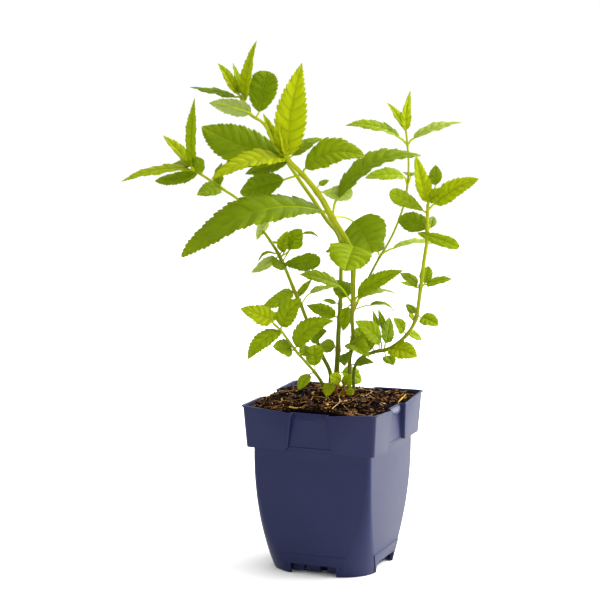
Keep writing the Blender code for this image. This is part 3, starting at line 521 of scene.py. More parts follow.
def plastic_finish():
    look = Look("pot_plastic")
    place = look.place()
    height = look.height()
    mottle = look.clouds(place, 0.030, 3.0)
    grit = look.clouds(place, 0.0012, 2.0)
    colour = look.mix(mottle, shade(18, 23, 55), shade(23, 28, 64))
    dust_band = height.ramp(0.112, 0.121) * 0.6 + (1 - height.ramp(0.002, 0.014)) * 0.35
    dust = look.clouds(place, 0.006, 4.0, 0.65).ramp(0.55, 0.80) * dust_band
    colour = look.mix(dust * 0.3, colour, shade(92, 84, 80))
    roughness = 0.40 + mottle * 0.08 + dust * 0.4
    relief = grit * 0.35 + look.clouds(place, 0.016) * 0.9
    normal = look.bump(relief, 0.00010, 0.4)
    return look.done(colour, roughness, normal, specular=0.17)


def peat_finish():
    look = Look("peat")
    place = look.place()
    high = look.mark("high")
    clods = look.clouds(place, 0.005, 5.0, 0.65)
    crumbs = look.cells(place, 0.0011)
    brown = look.mix(clods.ramp(0.38, 0.68), shade(9, 5, 2), shade(56, 34, 16))
    brown = look.mix(look.clouds(place, 0.0011, 3.0, 0.7).ramp(0.54, 0.70) * 0.6, brown, shade(122, 76, 34))
    # Painted shade: low places between the crumbs, and the hollow, are painted near black
    colour = look.mix(high.ramp(0.28, 0.86), shade(2, 1, 1), brown)
    colour = look.mix(look.clouds(place, 0.010, 2.0).ramp(0.46, 0.62) * 0.55, colour, shade(6, 4, 2))
    return look.done(colour, 0.95, look.bump(crumbs + clods, 0.0007, 0.9), specular=0.03)


def bits_finish(name, dark, light):
    """Bits of plant in the soil: two colours in streaks, each bit with a shade of its own."""
    look = Look(name)
    place = look.place()
    chance = look.mark("chance")
    streaks = look.clouds(look.scaled(place, (1.0, 1.0, 3.0)), 0.0009, 3.0, 0.6)
    colour = look.mix((streaks * 0.6 + chance * 0.6 - 0.1).held(), shade(*dark), shade(*light))
    return look.done(colour, 0.85, look.bump(streaks, 0.0003, 0.6), specular=0.12)


def floor_finish():
    look = Look("floor")
    soft = look.clouds(look.place(), 0.5, 2.0)
    return look.done(look.mix(soft, (0.86, 0.87, 0.85), (0.89, 0.89, 0.88)), 0.8)


# The pot


def rounded_square(side, corner, height):
    """The points of a square with round corners, counter-clockwise."""
    inner = side / 2 - corner
    points = []
    for quarter in range(4):
        start = quarter * math.pi / 2
        middle = Matrix.Rotation(start, 3, "Z") @ Vector((inner, inner, height))
        for step in range(CORNER_STEPS + 1):
            angle = start + step / CORNER_STEPS * math.pi / 2
            points.append(middle + corner * Vector((math.cos(angle), math.sin(angle), 0)))
    return points


def loft(rings, side=0):
    """A closed object through rings of points, from the lowest to the highest, turned to one side."""
    turn = Matrix.Rotation(side * math.pi / 2, 4, "Z")
    mesh = bmesh.new()
    loops = [[mesh.verts.new(turn @ Vector(point) * MM) for point in ring] for ring in rings]
    for low, high in zip(loops, loops[1:]):
        for i in range(len(low)):
            after = (i + 1) % len(low)
            mesh.faces.new((low[i], low[after], high[after], high[i]))
    mesh.faces.new(reversed(loops[0]))
    mesh.faces.new(loops[-1])
    bmesh.ops.recalc_face_normals(mesh, faces=mesh.faces[:])
    data = bpy.data.meshes.new("shape")
    mesh.to_mesh(data)
    mesh.free()
    obj = bpy.data.objects.new("shape", data)
    bpy.context.scene.collection.objects.link(obj)
    return obj


def block(low, high, side=0):
    ring = ((low[0], low[1]), (high[0], low[1]), (high[0], high[1]), (low[0], high[1]))
    return loft([[(x, y, z) for x, y in ring] for z in (low[2], high[2])], side)


def settle(obj):
    """Takes the object's modifiers into its mesh."""
    graph = bpy.context.evaluated_depsgraph_get()
    mesh = bpy.data.meshes.new_from_object(obj.evaluated_get(graph))
    obj.modifiers.clear()
    obj.data = mesh


def cut(obj, other, operation="DIFFERENCE"):
    """Takes the other object's shape out of obj, or joins it to obj, and uses the other up."""
    modifier = obj.modifiers.new("cut", "BOOLEAN")
    modifier.operation = operation
    modifier.solver = "EXACT"
    modifier.object = other
    settle(obj)
    bpy.data.objects.remove(other)


def body_side(height):
    rise = height / (POT_HEIGHT - COLLAR_HEIGHT)
    return BODY_FOOT_SIDE + (BODY_TOP_SIDE - BODY_FOOT_SIDE) * rise + BODY_BOW * 4 * rise * (1 - rise)


def body_corner(height):
    rise = max(0.0, 1 - height / (POT_HEIGHT - COLLAR_HEIGHT))
    return BODY_CORNER + FOOT_CORNER_EXTRA * rise**CORNER_GROWTH


def collar_side(height):
    rise = (height - POT_HEIGHT + COLLAR_HEIGHT) / COLLAR_HEIGHT
    return COLLAR_FOOT_SIDE + (RIM_SIDE - COLLAR_FOOT_SIDE) * rise


def pot_outside():
    """The pot's outer shape: body, collar and lip."""
    collar_foot = POT_HEIGHT - COLLAR_HEIGHT
    rings = []
    for height in (*FOOT_HEIGHTS, *BODY_HEIGHTS, collar_foot):
        rings.append(rounded_square(body_side(height), body_corner(height), height))
    rings.append(rounded_square(COLLAR_FOOT_SIDE, COLLAR_CORNER, collar_foot))
    lip = POT_HEIGHT - LIP_HEIGHT
    wide = collar_side(lip) + 2 * LIP_OUT
    rings.append(rounded_square(collar_side(lip), COLLAR_CORNER, lip))
    rings.append(rounded_square(wide, COLLAR_CORNER + LIP_OUT, lip + LIP_UNDERCUT))
    rings.append(rounded_square(RIM_SIDE + 2 * LIP_OUT, COLLAR_CORNER + LIP_OUT, POT_HEIGHT))
    return loft(rings)


def pot_inside():
    shoulder = POT_HEIGHT - COLLAR_HEIGHT + WALL
    rings = [rounded_square(PAN_SIDE - 2 * WALL, PAN_CORNER, height) for height in (FLOOR_THICK, FLOOR)]
    for height in (FLOOR, *BODY_HEIGHTS, shoulder):
        rings.append(rounded_square(body_side(height) - 2 * WALL, body_corner(height) - WALL, height))
    for height in (shoulder, POT_HEIGHT + PAST):
        rings.append(rounded_square(collar_side(height) - 2 * WALL, COLLAR_INNER_CORNER, height))
    return loft(rings)


def recess(side, grown, edge=0.0):
    """The finger recess of one side: what it takes from the collar, grown by a wall's thickness. The
    collar's edges beside it are rounded with the radius edge."""
    collar_foot = POT_HEIGHT - COLLAR_HEIGHT
    low = collar_foot - PAST
    top = POT_HEIGHT + PAST
    heights = [(low, 1.0)]
    for step in range(9):
        share = step / 8
        heights.append((collar_foot + FLAP_ROUNDING * share, 1 - math.sqrt(1 - (1 - share) ** 2)))
    heights.append((top, 0.0))
    rings = []
    for height, rounding in heights:
        share = (height - low) / (top - low)
        width = RECESS_FOOT_WIDTH + (RECESS_TOP_WIDTH - RECESS_FOOT_WIDTH) * share
        half = width / 2 + grown + FLAP_ROUNDING * rounding
        face = grown - RECESS_PLANE
        outer = -RIM_SIDE / 2 - PAST
        collar = -collar_side(max(height, collar_foot)) / 2
        flank = [(half, face)]
        if edge:
            wide = half + RECESS_FLARE * (face - collar - edge) / (face - outer)
            for turn in np.radians(np.linspace(0, 62, 6)):
                flank.append((wide + edge * (1 - math.cos(turn)), collar + edge * (1 - math.sin(turn))))
            (x, y), (x_after, y_after) = flank[-2:]
            flank.append((x_after + (outer - y_after) * (x_after - x) / (y_after - y), outer))
        else:
            flank.append((half + RECESS_FLARE, outer))
        outline = [(-x, y) for x, y in reversed(flank)] + flank
        rings.append([(x, y, height) for x, y in outline])
    return loft(rings, side)


def rim_sag(side):
    """What the rim lacks on one side: it sinks from the corners to the finger recess."""
    corner = RIM_SIDE / 2 - COLLAR_CORNER
    falls = ((corner, 0.0), (SAG_HALF_WIDTH + 5, 0.83), (SAG_HALF_WIDTH, 0.96), (SAG_HALF_WIDTH - 5, 1.0))
    outline = [(-x, POT_HEIGHT - RIM_SAGS[side] * share) for x, share in falls]
    outline += [(x, POT_HEIGHT - RIM_SAGS[side] * share) for x, share in reversed(falls)]
    outline += [(corner, POT_HEIGHT + PAST), (-corner, POT_HEIGHT + PAST)]
    return loft([[(x, y, z) for x, z in outline] for y in (PAST - RECESS_PLANE, -RIM_SIDE / 2 - PAST)], side)


def grip(side):
    """The rounded edge at the top of a finger recess, which slopes down and outwards."""
    inner = WALL / 2 - RECESS_PLANE
    top = POT_HEIGHT - RIM_SAGS[side]
    rings = []
    for i in range(GRIP_STEPS + 1):
        across = (2 * i / GRIP_STEPS - 1) * GRIP_HALF_WIDTH
        out = GRIP_LEAST + GRIP_DEPTH * (1 - (across / GRIP_HALF_WIDTH) ** 2)
        edge = -RECESS_PLANE - out
        upper = top - WALL / 2 - out
        nose = edge - GRIP_LEAN
        lower = upper - GRIP_EDGE
        outline = [(inner, top - GRIP_LEAST), (edge + 0.30, upper + 0.12), (edge + 0.05, upper - 0.02)]
        outline += [(edge - 0.10, upper - 0.25), (nose, lower + 0.3), (nose + 0.02, lower + 0.08)]
        outline += [(nose + 0.25, lower), (inner, lower - GRIP_LEAST)]
        rings.append([(across, y, z) for y, z in outline])
    return loft(rings, side)


def pad(side):
    """The flat pad at the foot of one side, which stands a little proud."""
    rings = []
    for height, half in ((LIP_UNDERCUT, PAD_FOOT_HALF_WIDTH), (PAD_HEIGHT, PAD_HALF_WIDTH)):
        outer = -body_side(height) / 2 - PAD_PROUD
        inner = -body_side(height) / 2 + WALL
        corners = ((-half, outer), (half, outer), (half, inner), (-half, inner))
        rings.append([(x, y, height) for x, y in corners])
    return loft(rings, side)


def make_pot(plastic):
    """The moulded pot: collar, body, foot skirt with notches, raised floor with a middle pan."""
    pot = pot_outside()
    cavity = pot_inside()
    for side in range(4):
        cut(pot, pad(side), "UNION")
        cut(pot, recess(side, 0.0, FLAP_EDGE))
        cut(cavity, recess(side, WALL))
    cut(pot, cavity)
    under_top = FLOOR - FLOOR_THICK
    corner = body_corner(0) - SKIRT_WALL
    low = rounded_square(BODY_FOOT_SIDE - 2 * SKIRT_WALL, corner, -PAST)
    high = rounded_square(body_side(under_top) - 2 * SKIRT_WALL, corner, under_top)
    under = loft([low, high])
    half = PAN_SIDE / 2
    cut(under, block((-half, -half, -2 * PAST), (half, half, FLOOR)))
    cut(pot, under)
    middle = (half + body_side(FLOOR) / 2 - SKIRT_WALL) / 2
    for side in range(4):
        notch = (NOTCH_WIDTH / 2, -half - SKIRT_WALL, NOTCH_HEIGHT)
        cut(pot, block((-NOTCH_WIDTH / 2, -RIM_SIDE, -PAST), notch, side))
        for across in (-DRAIN_PLACE, DRAIN_PLACE):
            low = (across - DRAIN_LENGTH / 2, -middle - DRAIN_WIDTH / 2, SKIRT_WALL)
            high = (across + DRAIN_LENGTH / 2, -middle + DRAIN_WIDTH / 2, FLOOR + PAST)
            cut(pot, block(low, high, side))
        cut(pot, rim_sag(side))
        cut(pot, grip(side), "UNION")
        for start, end in WEBS:
            high = (end, WEB_THICK - WEB_PLACE, FLOOR - FLOOR_THICK / 2)
            cut(pot, block((start, -WEB_PLACE, WEB_FOOT), high, side), "UNION")
    # Faces with a notch in their outline are split, so that none folds over when its edges are rounded
    split = bmesh.new()
    split.from_mesh(pot.data)
    bmesh.ops.connect_verts_concave(split, faces=split.faces[:])
    split.to_mesh(pot.data)
    split.free()
    rounding = pot.modifiers.new("rounding", "BEVEL")
    rounding.width = EDGE_ROUND * MM
    rounding.segments = 2
    rounding.limit_method = "ANGLE"
    rounding.angle_limit = math.radians(40.0)
    rounding.use_clamp_overlap = False
    settle(pot)
    mesh = pot.data
    bpy.data.objects.remove(pot)
    return placed("pot_shell", mesh, plastic, 30.0)


# The soil


def soil_height(x, y):
    """The height of the soil at a place: level at the walls, heaped round the stems, and uneven."""
    height = SOIL_LEVEL + SOIL_MOUND * np.exp(-(x * x + y * y) / (2 * MOUND_RADIUS**2))
    for size, wave_x, wave_y, start in SOIL_WAVES:
        height = height + size * np.sin(wave_x * x + wave_y * y + start)
    return height


def coarse_height(x, y):
    """The height of the soil's coarse shape, whichever way its square cells are split."""
    lines = np.linspace(-SOIL_BLOCK_HALF, SOIL_BLOCK_HALF, SOIL_CELLS + 1)
    grid = soil_height(*np.meshgrid(lines, lines, indexing="ij"))
    places = [(np.asarray(v) + SOIL_BLOCK_HALF) / (2 * SOIL_BLOCK_HALF) * SOIL_CELLS for v in (x, y)]
    i, j = (np.clip(place.astype(int), 0, SOIL_CELLS - 1) for place in places)
    fx = places[0] - i
    fy = places[1] - j
    a, b, c, d = grid[i, j], grid[i + 1, j], grid[i, j + 1], grid[i + 1, j + 1]
    one = np.where(fx > fy, a + (b - a) * fx + (d - b) * fy, a + (d - c) * fx + (c - a) * fy)
    two = np.where(fx + fy < 1, a + (b - a) * fx + (c - a) * fy, d + (c - d) * (1 - fx) + (b - d) * (1 - fy))
    return np.maximum(one, two)


def rough(x, y):
    """How far peat crumbs and clods stand above the soil's even shape."""
    place = Vector((x, y, 3.0))
    clods = max(0.0, noise.noise(place * 0.17) + 0.30) * 1.7
    lumps = (0.5 - abs(noise.noise(place * 0.42))) * 1.9
    crumbs = (1 - min(1.0, noise.voronoi(place * 0.50)[0][0] * 1.3)) * 1.3
    fine = noise.fractal(place * 1.4, 0.9, 2.0, 2) * 0.45
    heap_x, heap_y, reach_x, reach_y, rise = SOIL_HEAP
    heap = rise * math.exp(-(((x - heap_x) / reach_x) ** 2) - ((y - heap_y) / reach_y) ** 2)
    return max(0.0, clods + lumps + crumbs + fine + heap - ROUGH_LOSS)


def shaded(x, y):
    """How strong the painted shade of the loose hollow in the soil is at a place, from 0 to 1."""
    hollow_x, hollow_y, reach_x, reach_y = SOIL_HOLLOW_SHADE
    return np.exp(-(((x - hollow_x) / reach_x) ** 2) - ((y - hollow_y) / reach_y) ** 2)


# The soil's rough top: half its side, how far out a finger recess cuts it off, and half how wide it does
SOIL_HALF = collar_side(SOIL_LEVEL - SOIL_DEPTH) / 2 - WALL - SOIL_GAP
SOIL_RECESS_PLANE = RECESS_PLANE - WALL - SOIL_GAP
SOIL_RECESS_HALF = RECESS_TOP_WIDTH / 2 + RECESS_FLARE + WALL + 1.1


def inside_pot(x, y, margin=0.0):
    """Whether a place lies on the soil, inside the collar's walls and finger recesses."""
    half = SOIL_HALF - margin
    x, y = np.abs(x), np.abs(y)
    far = np.maximum(x, y)
    near = np.minimum(x, y)
    hollow = SOIL_RECESS_PLANE - margin
    beside = SOIL_RECESS_HALF + SOIL_GAP + margin
    corner = COLLAR_INNER_CORNER + 0.4
    cut_off = np.hypot(np.maximum(x - half + corner, 0), np.maximum(y - half + corner, 0)) > corner
    return (far <= half) & ~cut_off & ~((far > hollow) & (near < beside))


# Roots, straws and bits that lie at known places of the picture, with their radii
PALE_ROOTS = (
    (((337.5, 394), (339.7, 402), (334, 407.5), (329.5, 412)), 0.36),
    (((339.7, 402), (346, 401), (353, 400.5), (362, 402)), 0.30),
    (((339, 398), (344, 406), (349, 411), (352, 413)), 0.24),
    (((281.5, 399), (283.5, 406)), 0.45),
    (((366, 396), (371, 392.5), (374, 391)), 0.28),
    (((371, 392.5), (370, 396), (375, 399)), 0.24),
)
STRAWS = (
    (((396, 405), (402, 399), (405.5, 395.5)), 0.55),
    (((289, 408), (297, 409), (303, 408)), 0.6),
    (((300, 403.5), (310, 401), (314, 394)), 0.35),
)
YELLOW_BITS = ((339.7, 387, 1.9), (343, 389, 1.1), (351, 395, 2.0), (336, 389, 1.0))
# Dry strands and stubs, each with its place in the picture and how far behind the pot's axis that is. A
# stub also has its height and radius, and a red one the place of its head.
DRY_STRANDS = ((340, 386, -6), (337, 388, -9), (344, 390, -10), (360, 390, 0), (322, 390, -2))
STUBS = ((335, 390, -2, 9.0, 1.5), (347, 392, -3, 6.0, 0.9), (329, 392, -8, 5.0, 0.8))
RED_STUBS = ((346, 391, -5, 349, 376), (344, 392, -8, 342, 381))
# The finish of each piece of bits: its name, its darker and its lighter colour
BITS = {
    "soil_bark": ("bark", (12, 7, 4), (78, 45, 20)),
    "soil_fibres": ("fibre", (36, 21, 9), (172, 120, 64)),
    "soil_roots": ("pale_root", (160, 118, 72), (206, 170, 118)),
    "soil_dry_bits": ("dry_bits", (130, 84, 22), (200, 160, 60)),
    "soil_stubs": ("stub", (84, 38, 20), (140, 68, 38)),
}


def add_soil(body):
    """The soil's rough top as a closed slab, with a mark of how high each place stands, lowered in the
    hollow; the peat finish paints low marks near black as painted shade.
    """
    hollow = SOIL_RECESS_PLANE
    lines = sorted(set(np.linspace(-hollow, hollow, int(2 * hollow / SOIL_PITCH)).tolist())
                   | {sign * v for sign in (-1, 1) for v in np.linspace(hollow, SOIL_HALF, 8)[1:]})
    count = len(lines)
    x, y = np.meshgrid(lines, lines, indexing="ij")
    keep = inside_pot((x[1:, 1:] + x[:-1, :-1]) / 2, (y[1:, 1:] + y[:-1, :-1]) / 2)
    crumbs = np.array([rough(a, b) for a, b in zip(x.ravel(), y.ravel())]).reshape(x.shape)
    even = coarse_height(x, y)
    points = np.stack([x, y, even + SOIL_RISE + crumbs], axis=-1).reshape(-1, 3)
    low = np.stack([x, y, even - SOIL_DEPTH], axis=-1).reshape(-1, 3)
    faces = []
    total = count * count
    edges = set()
    for i, j in zip(*np.nonzero(keep)):
        a = int(i) * count + int(j)
        face = (a, a + count, a + count + 1, a + 1)
        faces.append(face)
        faces.append(tuple(total + k for k in reversed(face)))
        edges.update(zip(face, face[1:] + face[:1]))
    for start, end in sorted(edges):
        if (end, start) not in edges:
            faces.append((end, start, total + start, total + end))
    used = sorted({k for face in faces for k in face})
    renumber = {k: n for n, k in enumerate(used)}
    both = np.concatenate([points, low])[used]
    # Painted shade: the mark is low in low places and in the hollow, which the peat finish paints near black
    high = np.concatenate([crumbs.ravel() / ROUGH_HIGH - 0.5 * shaded(x, y).ravel(), np.zeros(total)])[used]
    body.add(both, [tuple(renumber[k] for k in face) for face in faces], high=high)


def on_soil(x, y):
    """The point of the rough top at a place."""
    return np.array((x, y, float(coarse_height(x, y)) + SOIL_RISE + rough(x, y)))


def random_place(chance, margin=3.0):
    """A place on the soil at random, seldom in the hollow where shade is painted."""
    half = RIM_SIDE / 2
    while True:
        x, y = chance.uniform(-half, half, 2)
        if inside_pot(x, y, margin) and chance.random() > 0.75 * shaded(x, y):
            return x, y


def add_lump(body, place, size, chance, flat=1.0):
    """A crumb: an uneven stone-like shape, flattened and turned at random."""
    mesh = bmesh.new()
    bmesh.ops.create_icosphere(mesh, subdivisions=2 if size > 1.3 else 1, radius=1.0)
    shape = np.array([vert.co for vert in mesh.verts])
    faces = [tuple(vert.index for vert in face.verts) for face in mesh.faces]
    mesh.free()
    shape = shape * (1 + 0.5 * (chance.random(len(shape)) - 0.5))[:, None]
    shape = shape * np.array((1.0, chance.uniform(0.5, 0.95), flat * chance.uniform(0.45, 0.9))) * size
    turn = Matrix.Rotation(chance.uniform(0, 6.28), 3, "Z")
    turn = turn @ Matrix.Rotation(chance.uniform(-0.8, 0.8), 3, "X")
    body.add(shape @ np.array(turn).T + place, faces, chance=chance.random(), high=chance.uniform(0.3, 1.0))


def add_strand(body, place, length, radius, curl, chance, sides=5):
    """A thin curved strand that lies on the soil."""
    heading = chance.uniform(0, 2 * math.pi)
    tilt = chance.uniform(-0.1, 0.5)
    points = []
    at = np.array(place, float)
    bend = chance.normal(0, curl)
    for _ in range(STRAND_STEPS):
        points.append(at.copy())
        bend = 0.6 * bend + chance.normal(0, curl)
        heading += bend
        tilt = tilt * 0.75 - 0.03 + chance.normal(0, 0.12)
        way = np.array((math.cos(heading), math.sin(heading), math.sin(tilt)))
        at = at + length / STRAND_STEPS * way
        if not inside_pot(at[0], at[1], 0.6 + radius):
            break
        even = float(coarse_height(at[0], at[1]))
        ground = even + SOIL_RISE + rough(at[0], at[1]) * 0.75 + radius * 0.6
        at[2] = max(at[2], ground)
    if len(points) < 4:
        return
    radii = radius * np.linspace(1.0, 0.55, len(points)) * chance.uniform(0.8, 1.15, len(points))
    tube_points, faces = tube(np.array(points), radii, sides)
    body.add(tube_points, faces, chance=chance.random())


def soil_seen(across, down):
    """The place on the soil that the view shows at this place of the picture."""
    for away in np.arange(-60.0, 60.0, 0.4):
        point = seen(across, down, away)
        if inside_pot(point[0], point[1], 1.0) and point[2] <= on_soil(point[0], point[1])[2]:
            break
    return point


def add_lying(body, places, radius, chance):
    """A strand on the soil through these places of the picture."""
    path, _ = smooth_path([soil_seen(*place) + (0, 0, radius) for place in places], 0.8)
    radii = radius * chance.uniform(0.8, 1.15, len(path)) * np.linspace(1.1, 0.6, len(path))
    points, faces = tube(path, radii, 7)
    body.add(points, faces, chance=chance.random())


def bits_piece(body, name, sharp=60.0):
    finish, dark, light = BITS[name]
    return body.piece(name, bits_finish(finish, dark, light), sharp)


def make_soil(peat, chance):
    """The pieces on the soil: its rough top, bark, fibres, roots, dried bits and stubs."""
    top = Body("chance", "high")
    add_soil(top)
    for _ in range(CRUMBS):
        place = on_soil(*random_place(chance, 0.9))
        add_lump(top, place, chance.uniform(0.25, 0.65) + 1.1 * chance.random() ** 5, chance)
    pieces = [top.piece("soil_top", peat, 60.0)]

    bark = Body("chance")
    for _ in range(BARK_BITS):
        place = on_soil(*random_place(chance, 3.0))
        add_lump(bark, place + (0, 0, 0.2), chance.uniform(1.2, 3.2), chance, flat=0.35)
    pieces.append(bits_piece(bark, "soil_bark", 40.0))

    fibres = Body("chance")
    for _ in range(FIBRES):
        start = on_soil(*random_place(chance, 1.0))
        add_strand(fibres, start, chance.uniform(3, 11), chance.uniform(0.12, 0.36), 0.30, chance)
    pieces.append(bits_piece(fibres, "soil_fibres"))

    roots = Body("chance")
    for _ in range(THIN_ROOTS):
        start = on_soil(*random_place(chance))
        add_strand(roots, start, chance.uniform(8, 20), chance.uniform(0.13, 0.26), 0.28, chance)
    for places, radius in PALE_ROOTS:
        add_lying(roots, places, radius, chance)
    pieces.append(bits_piece(roots, "soil_roots"))

    dry = Body("chance")
    for across, down, away in DRY_STRANDS:
        place = seen(across, down, away)
        add_strand(dry, on_soil(*place[:2]), chance.uniform(6, 10), 0.55, 0.4, chance, sides=6)
    for places, radius in STRAWS:
        add_lying(dry, places, radius, chance)
    for across, down, size in YELLOW_BITS:
        add_lump(dry, soil_seen(across, down) + (0, 0, size / 2), size, chance)
    for _ in range(LEAF_BITS):
        place = on_soil(*random_place(chance, 8.0)) + (0, 0, 0.3)
        add_lump(dry, place, chance.uniform(0.8, 1.5), chance, flat=0.3)
    pieces.append(bits_piece(dry, "soil_dry_bits"))

    stubs = Body("chance")
    for across, down, away, tall, radius in STUBS:
        foot = on_soil(*seen(across, down, away)[:2]) - (0, 0, 2.0)
        lean = chance.uniform(-0.25, 0.25, 2)
        path = [foot + np.array((lean[0] * t, lean[1] * t, t)) * tall for t in np.linspace(0, 1, 7)]
        points, faces = tube(np.array(path), radius * np.linspace(1.1, 0.9, 7), 12)
        stubs.add(points, faces, chance=chance.random())
    for across, down, away, far, up in RED_STUBS:
        foot = on_soil(*seen(across, down, away)[:2]) - (0, 0, 1.0)
        head = seen(far, up, away - 2)
        path, _ = smooth_path([foot, (foot + head) / 2 + (0.8, 0, 0), head], 1.5)
        points, faces = tube(path, np.linspace(0.6, 0.4, len(path)), 8)
        stubs.add(points, faces, chance=0.9)
    pieces.append(bits_piece(stubs, "soil_stubs", 50.0))
    return pieces


# The plant


def stem(thicks, places):
    """A stem's centre line and radii. thicks are its thicknesses at even steps from foot to tip, and
    each place is where the picture shows it and how far away it is."""
    axis = np.array([seen(*place) for place in places])
    radii = np.interp(np.linspace(0, 1, len(axis)), np.linspace(0, 1, len(thicks)), thicks) / 2
    return SimpleNamespace(axis=axis, radii=radii)


def leaf(base, tip, width, back, turn, stalk=None, tone="mid", arch=0.03, fold=10.0, lift=0.0, bend=0.0,
         widest=BLADE_WIDEST, point=1.0):
    """One leaf. base and tip are where the picture shows its blade begin and end, and stalk is where
    it leaves the stem. width is the true one. lift and back are how far its base and tip lie behind
    the joint it grows from, turn tilts its upper face up from facing the viewer, arch and bend curve
    its midrib out of the blade and in it, fold raises its halves, and a low point rounds its tip."""
    return SimpleNamespace(base=base, tip=tip, width=width, back=back, turn=math.radians(turn), arch=arch,
                           fold=math.radians(fold), stalk=stalk or base, lift=lift, bend=bend,
                           widest=widest, point=point, tone=tone)


TONES = {"dark": 0.12, "mid": 0.42, "pale": 0.50, "bright": 0.78, "young": 0.95}


def root_on(stems, place):
    """The point of the stems' centre lines that the picture shows nearest to this place."""
    best = None
    place = np.array(place, float)
    for one in stems:
        for start, end in zip(one.axis, one.axis[1:]):
            a = picture_place(start)
            b = picture_place(end)
            share = (place - a).dot(b - a) / max((b - a).dot(b - a), 1e-9)
            share = max(0.0, min(1.0, share))
            gap = np.linalg.norm(a + (b - a) * share - place)
            if best is None or gap < best[0]:
                best = (gap, start + (end - start) * share, unit(end - start))
    return best[1], best[2]


def blade_frame(one, root):
    """The blade's base, its tip, and the directions along it, across it and out of its upper face."""
    away = seen_from(root)[1]
    base = seen(*one.base, away + one.lift)
    tip = seen(*one.tip, away + one.back)
    if np.linalg.norm(base - root) < NEAR_STEM:
        base = root
    along = unit(tip - base)
    facing = unit(TO_VIEWER - along * TO_VIEWER.dot(along))
    upward = np.cross(facing, along)
    if upward[2] < 0:
        upward = -upward
    face = math.cos(one.turn) * facing + math.sin(one.turn) * upward
    return base, tip, along, np.cross(along, face), face


def half_width(one, u):
    """A blade's half width along it, as a share of the largest."""
    rise = BLADE_FULLNESS * one.widest
    fall = BLADE_FULLNESS * (1 - one.widest) * one.point
    peak = rise / (rise + fall)
    return (u / peak) ** rise * ((1 - u) / (1 - peak)) ** fall


def ramp(values, start, end):
    t = np.clip((values - start) / (end - start), 0, 1)
    return t * t * (3 - 2 * t)


def midrib(one, frame_of, u):
    """Points of the midrib, the directions to the blade's side there, and those out of its upper face."""
    base, tip, along, across, face = frame_of
    length = np.linalg.norm(tip - base)
    u = np.asarray(u, float)[..., None]
    bow = 4 * u * (1 - u)
    slope = 4 * (1 - 2 * u)
    middle = base + (tip - base) * u + (face * one.arch + across * one.bend) * length * bow
    tangent = unit(along + (face * one.arch + across * one.bend) * slope)
    side = unit(across - tangent * (tangent @ across)[..., None])
    return middle, side, np.cross(side, tangent)


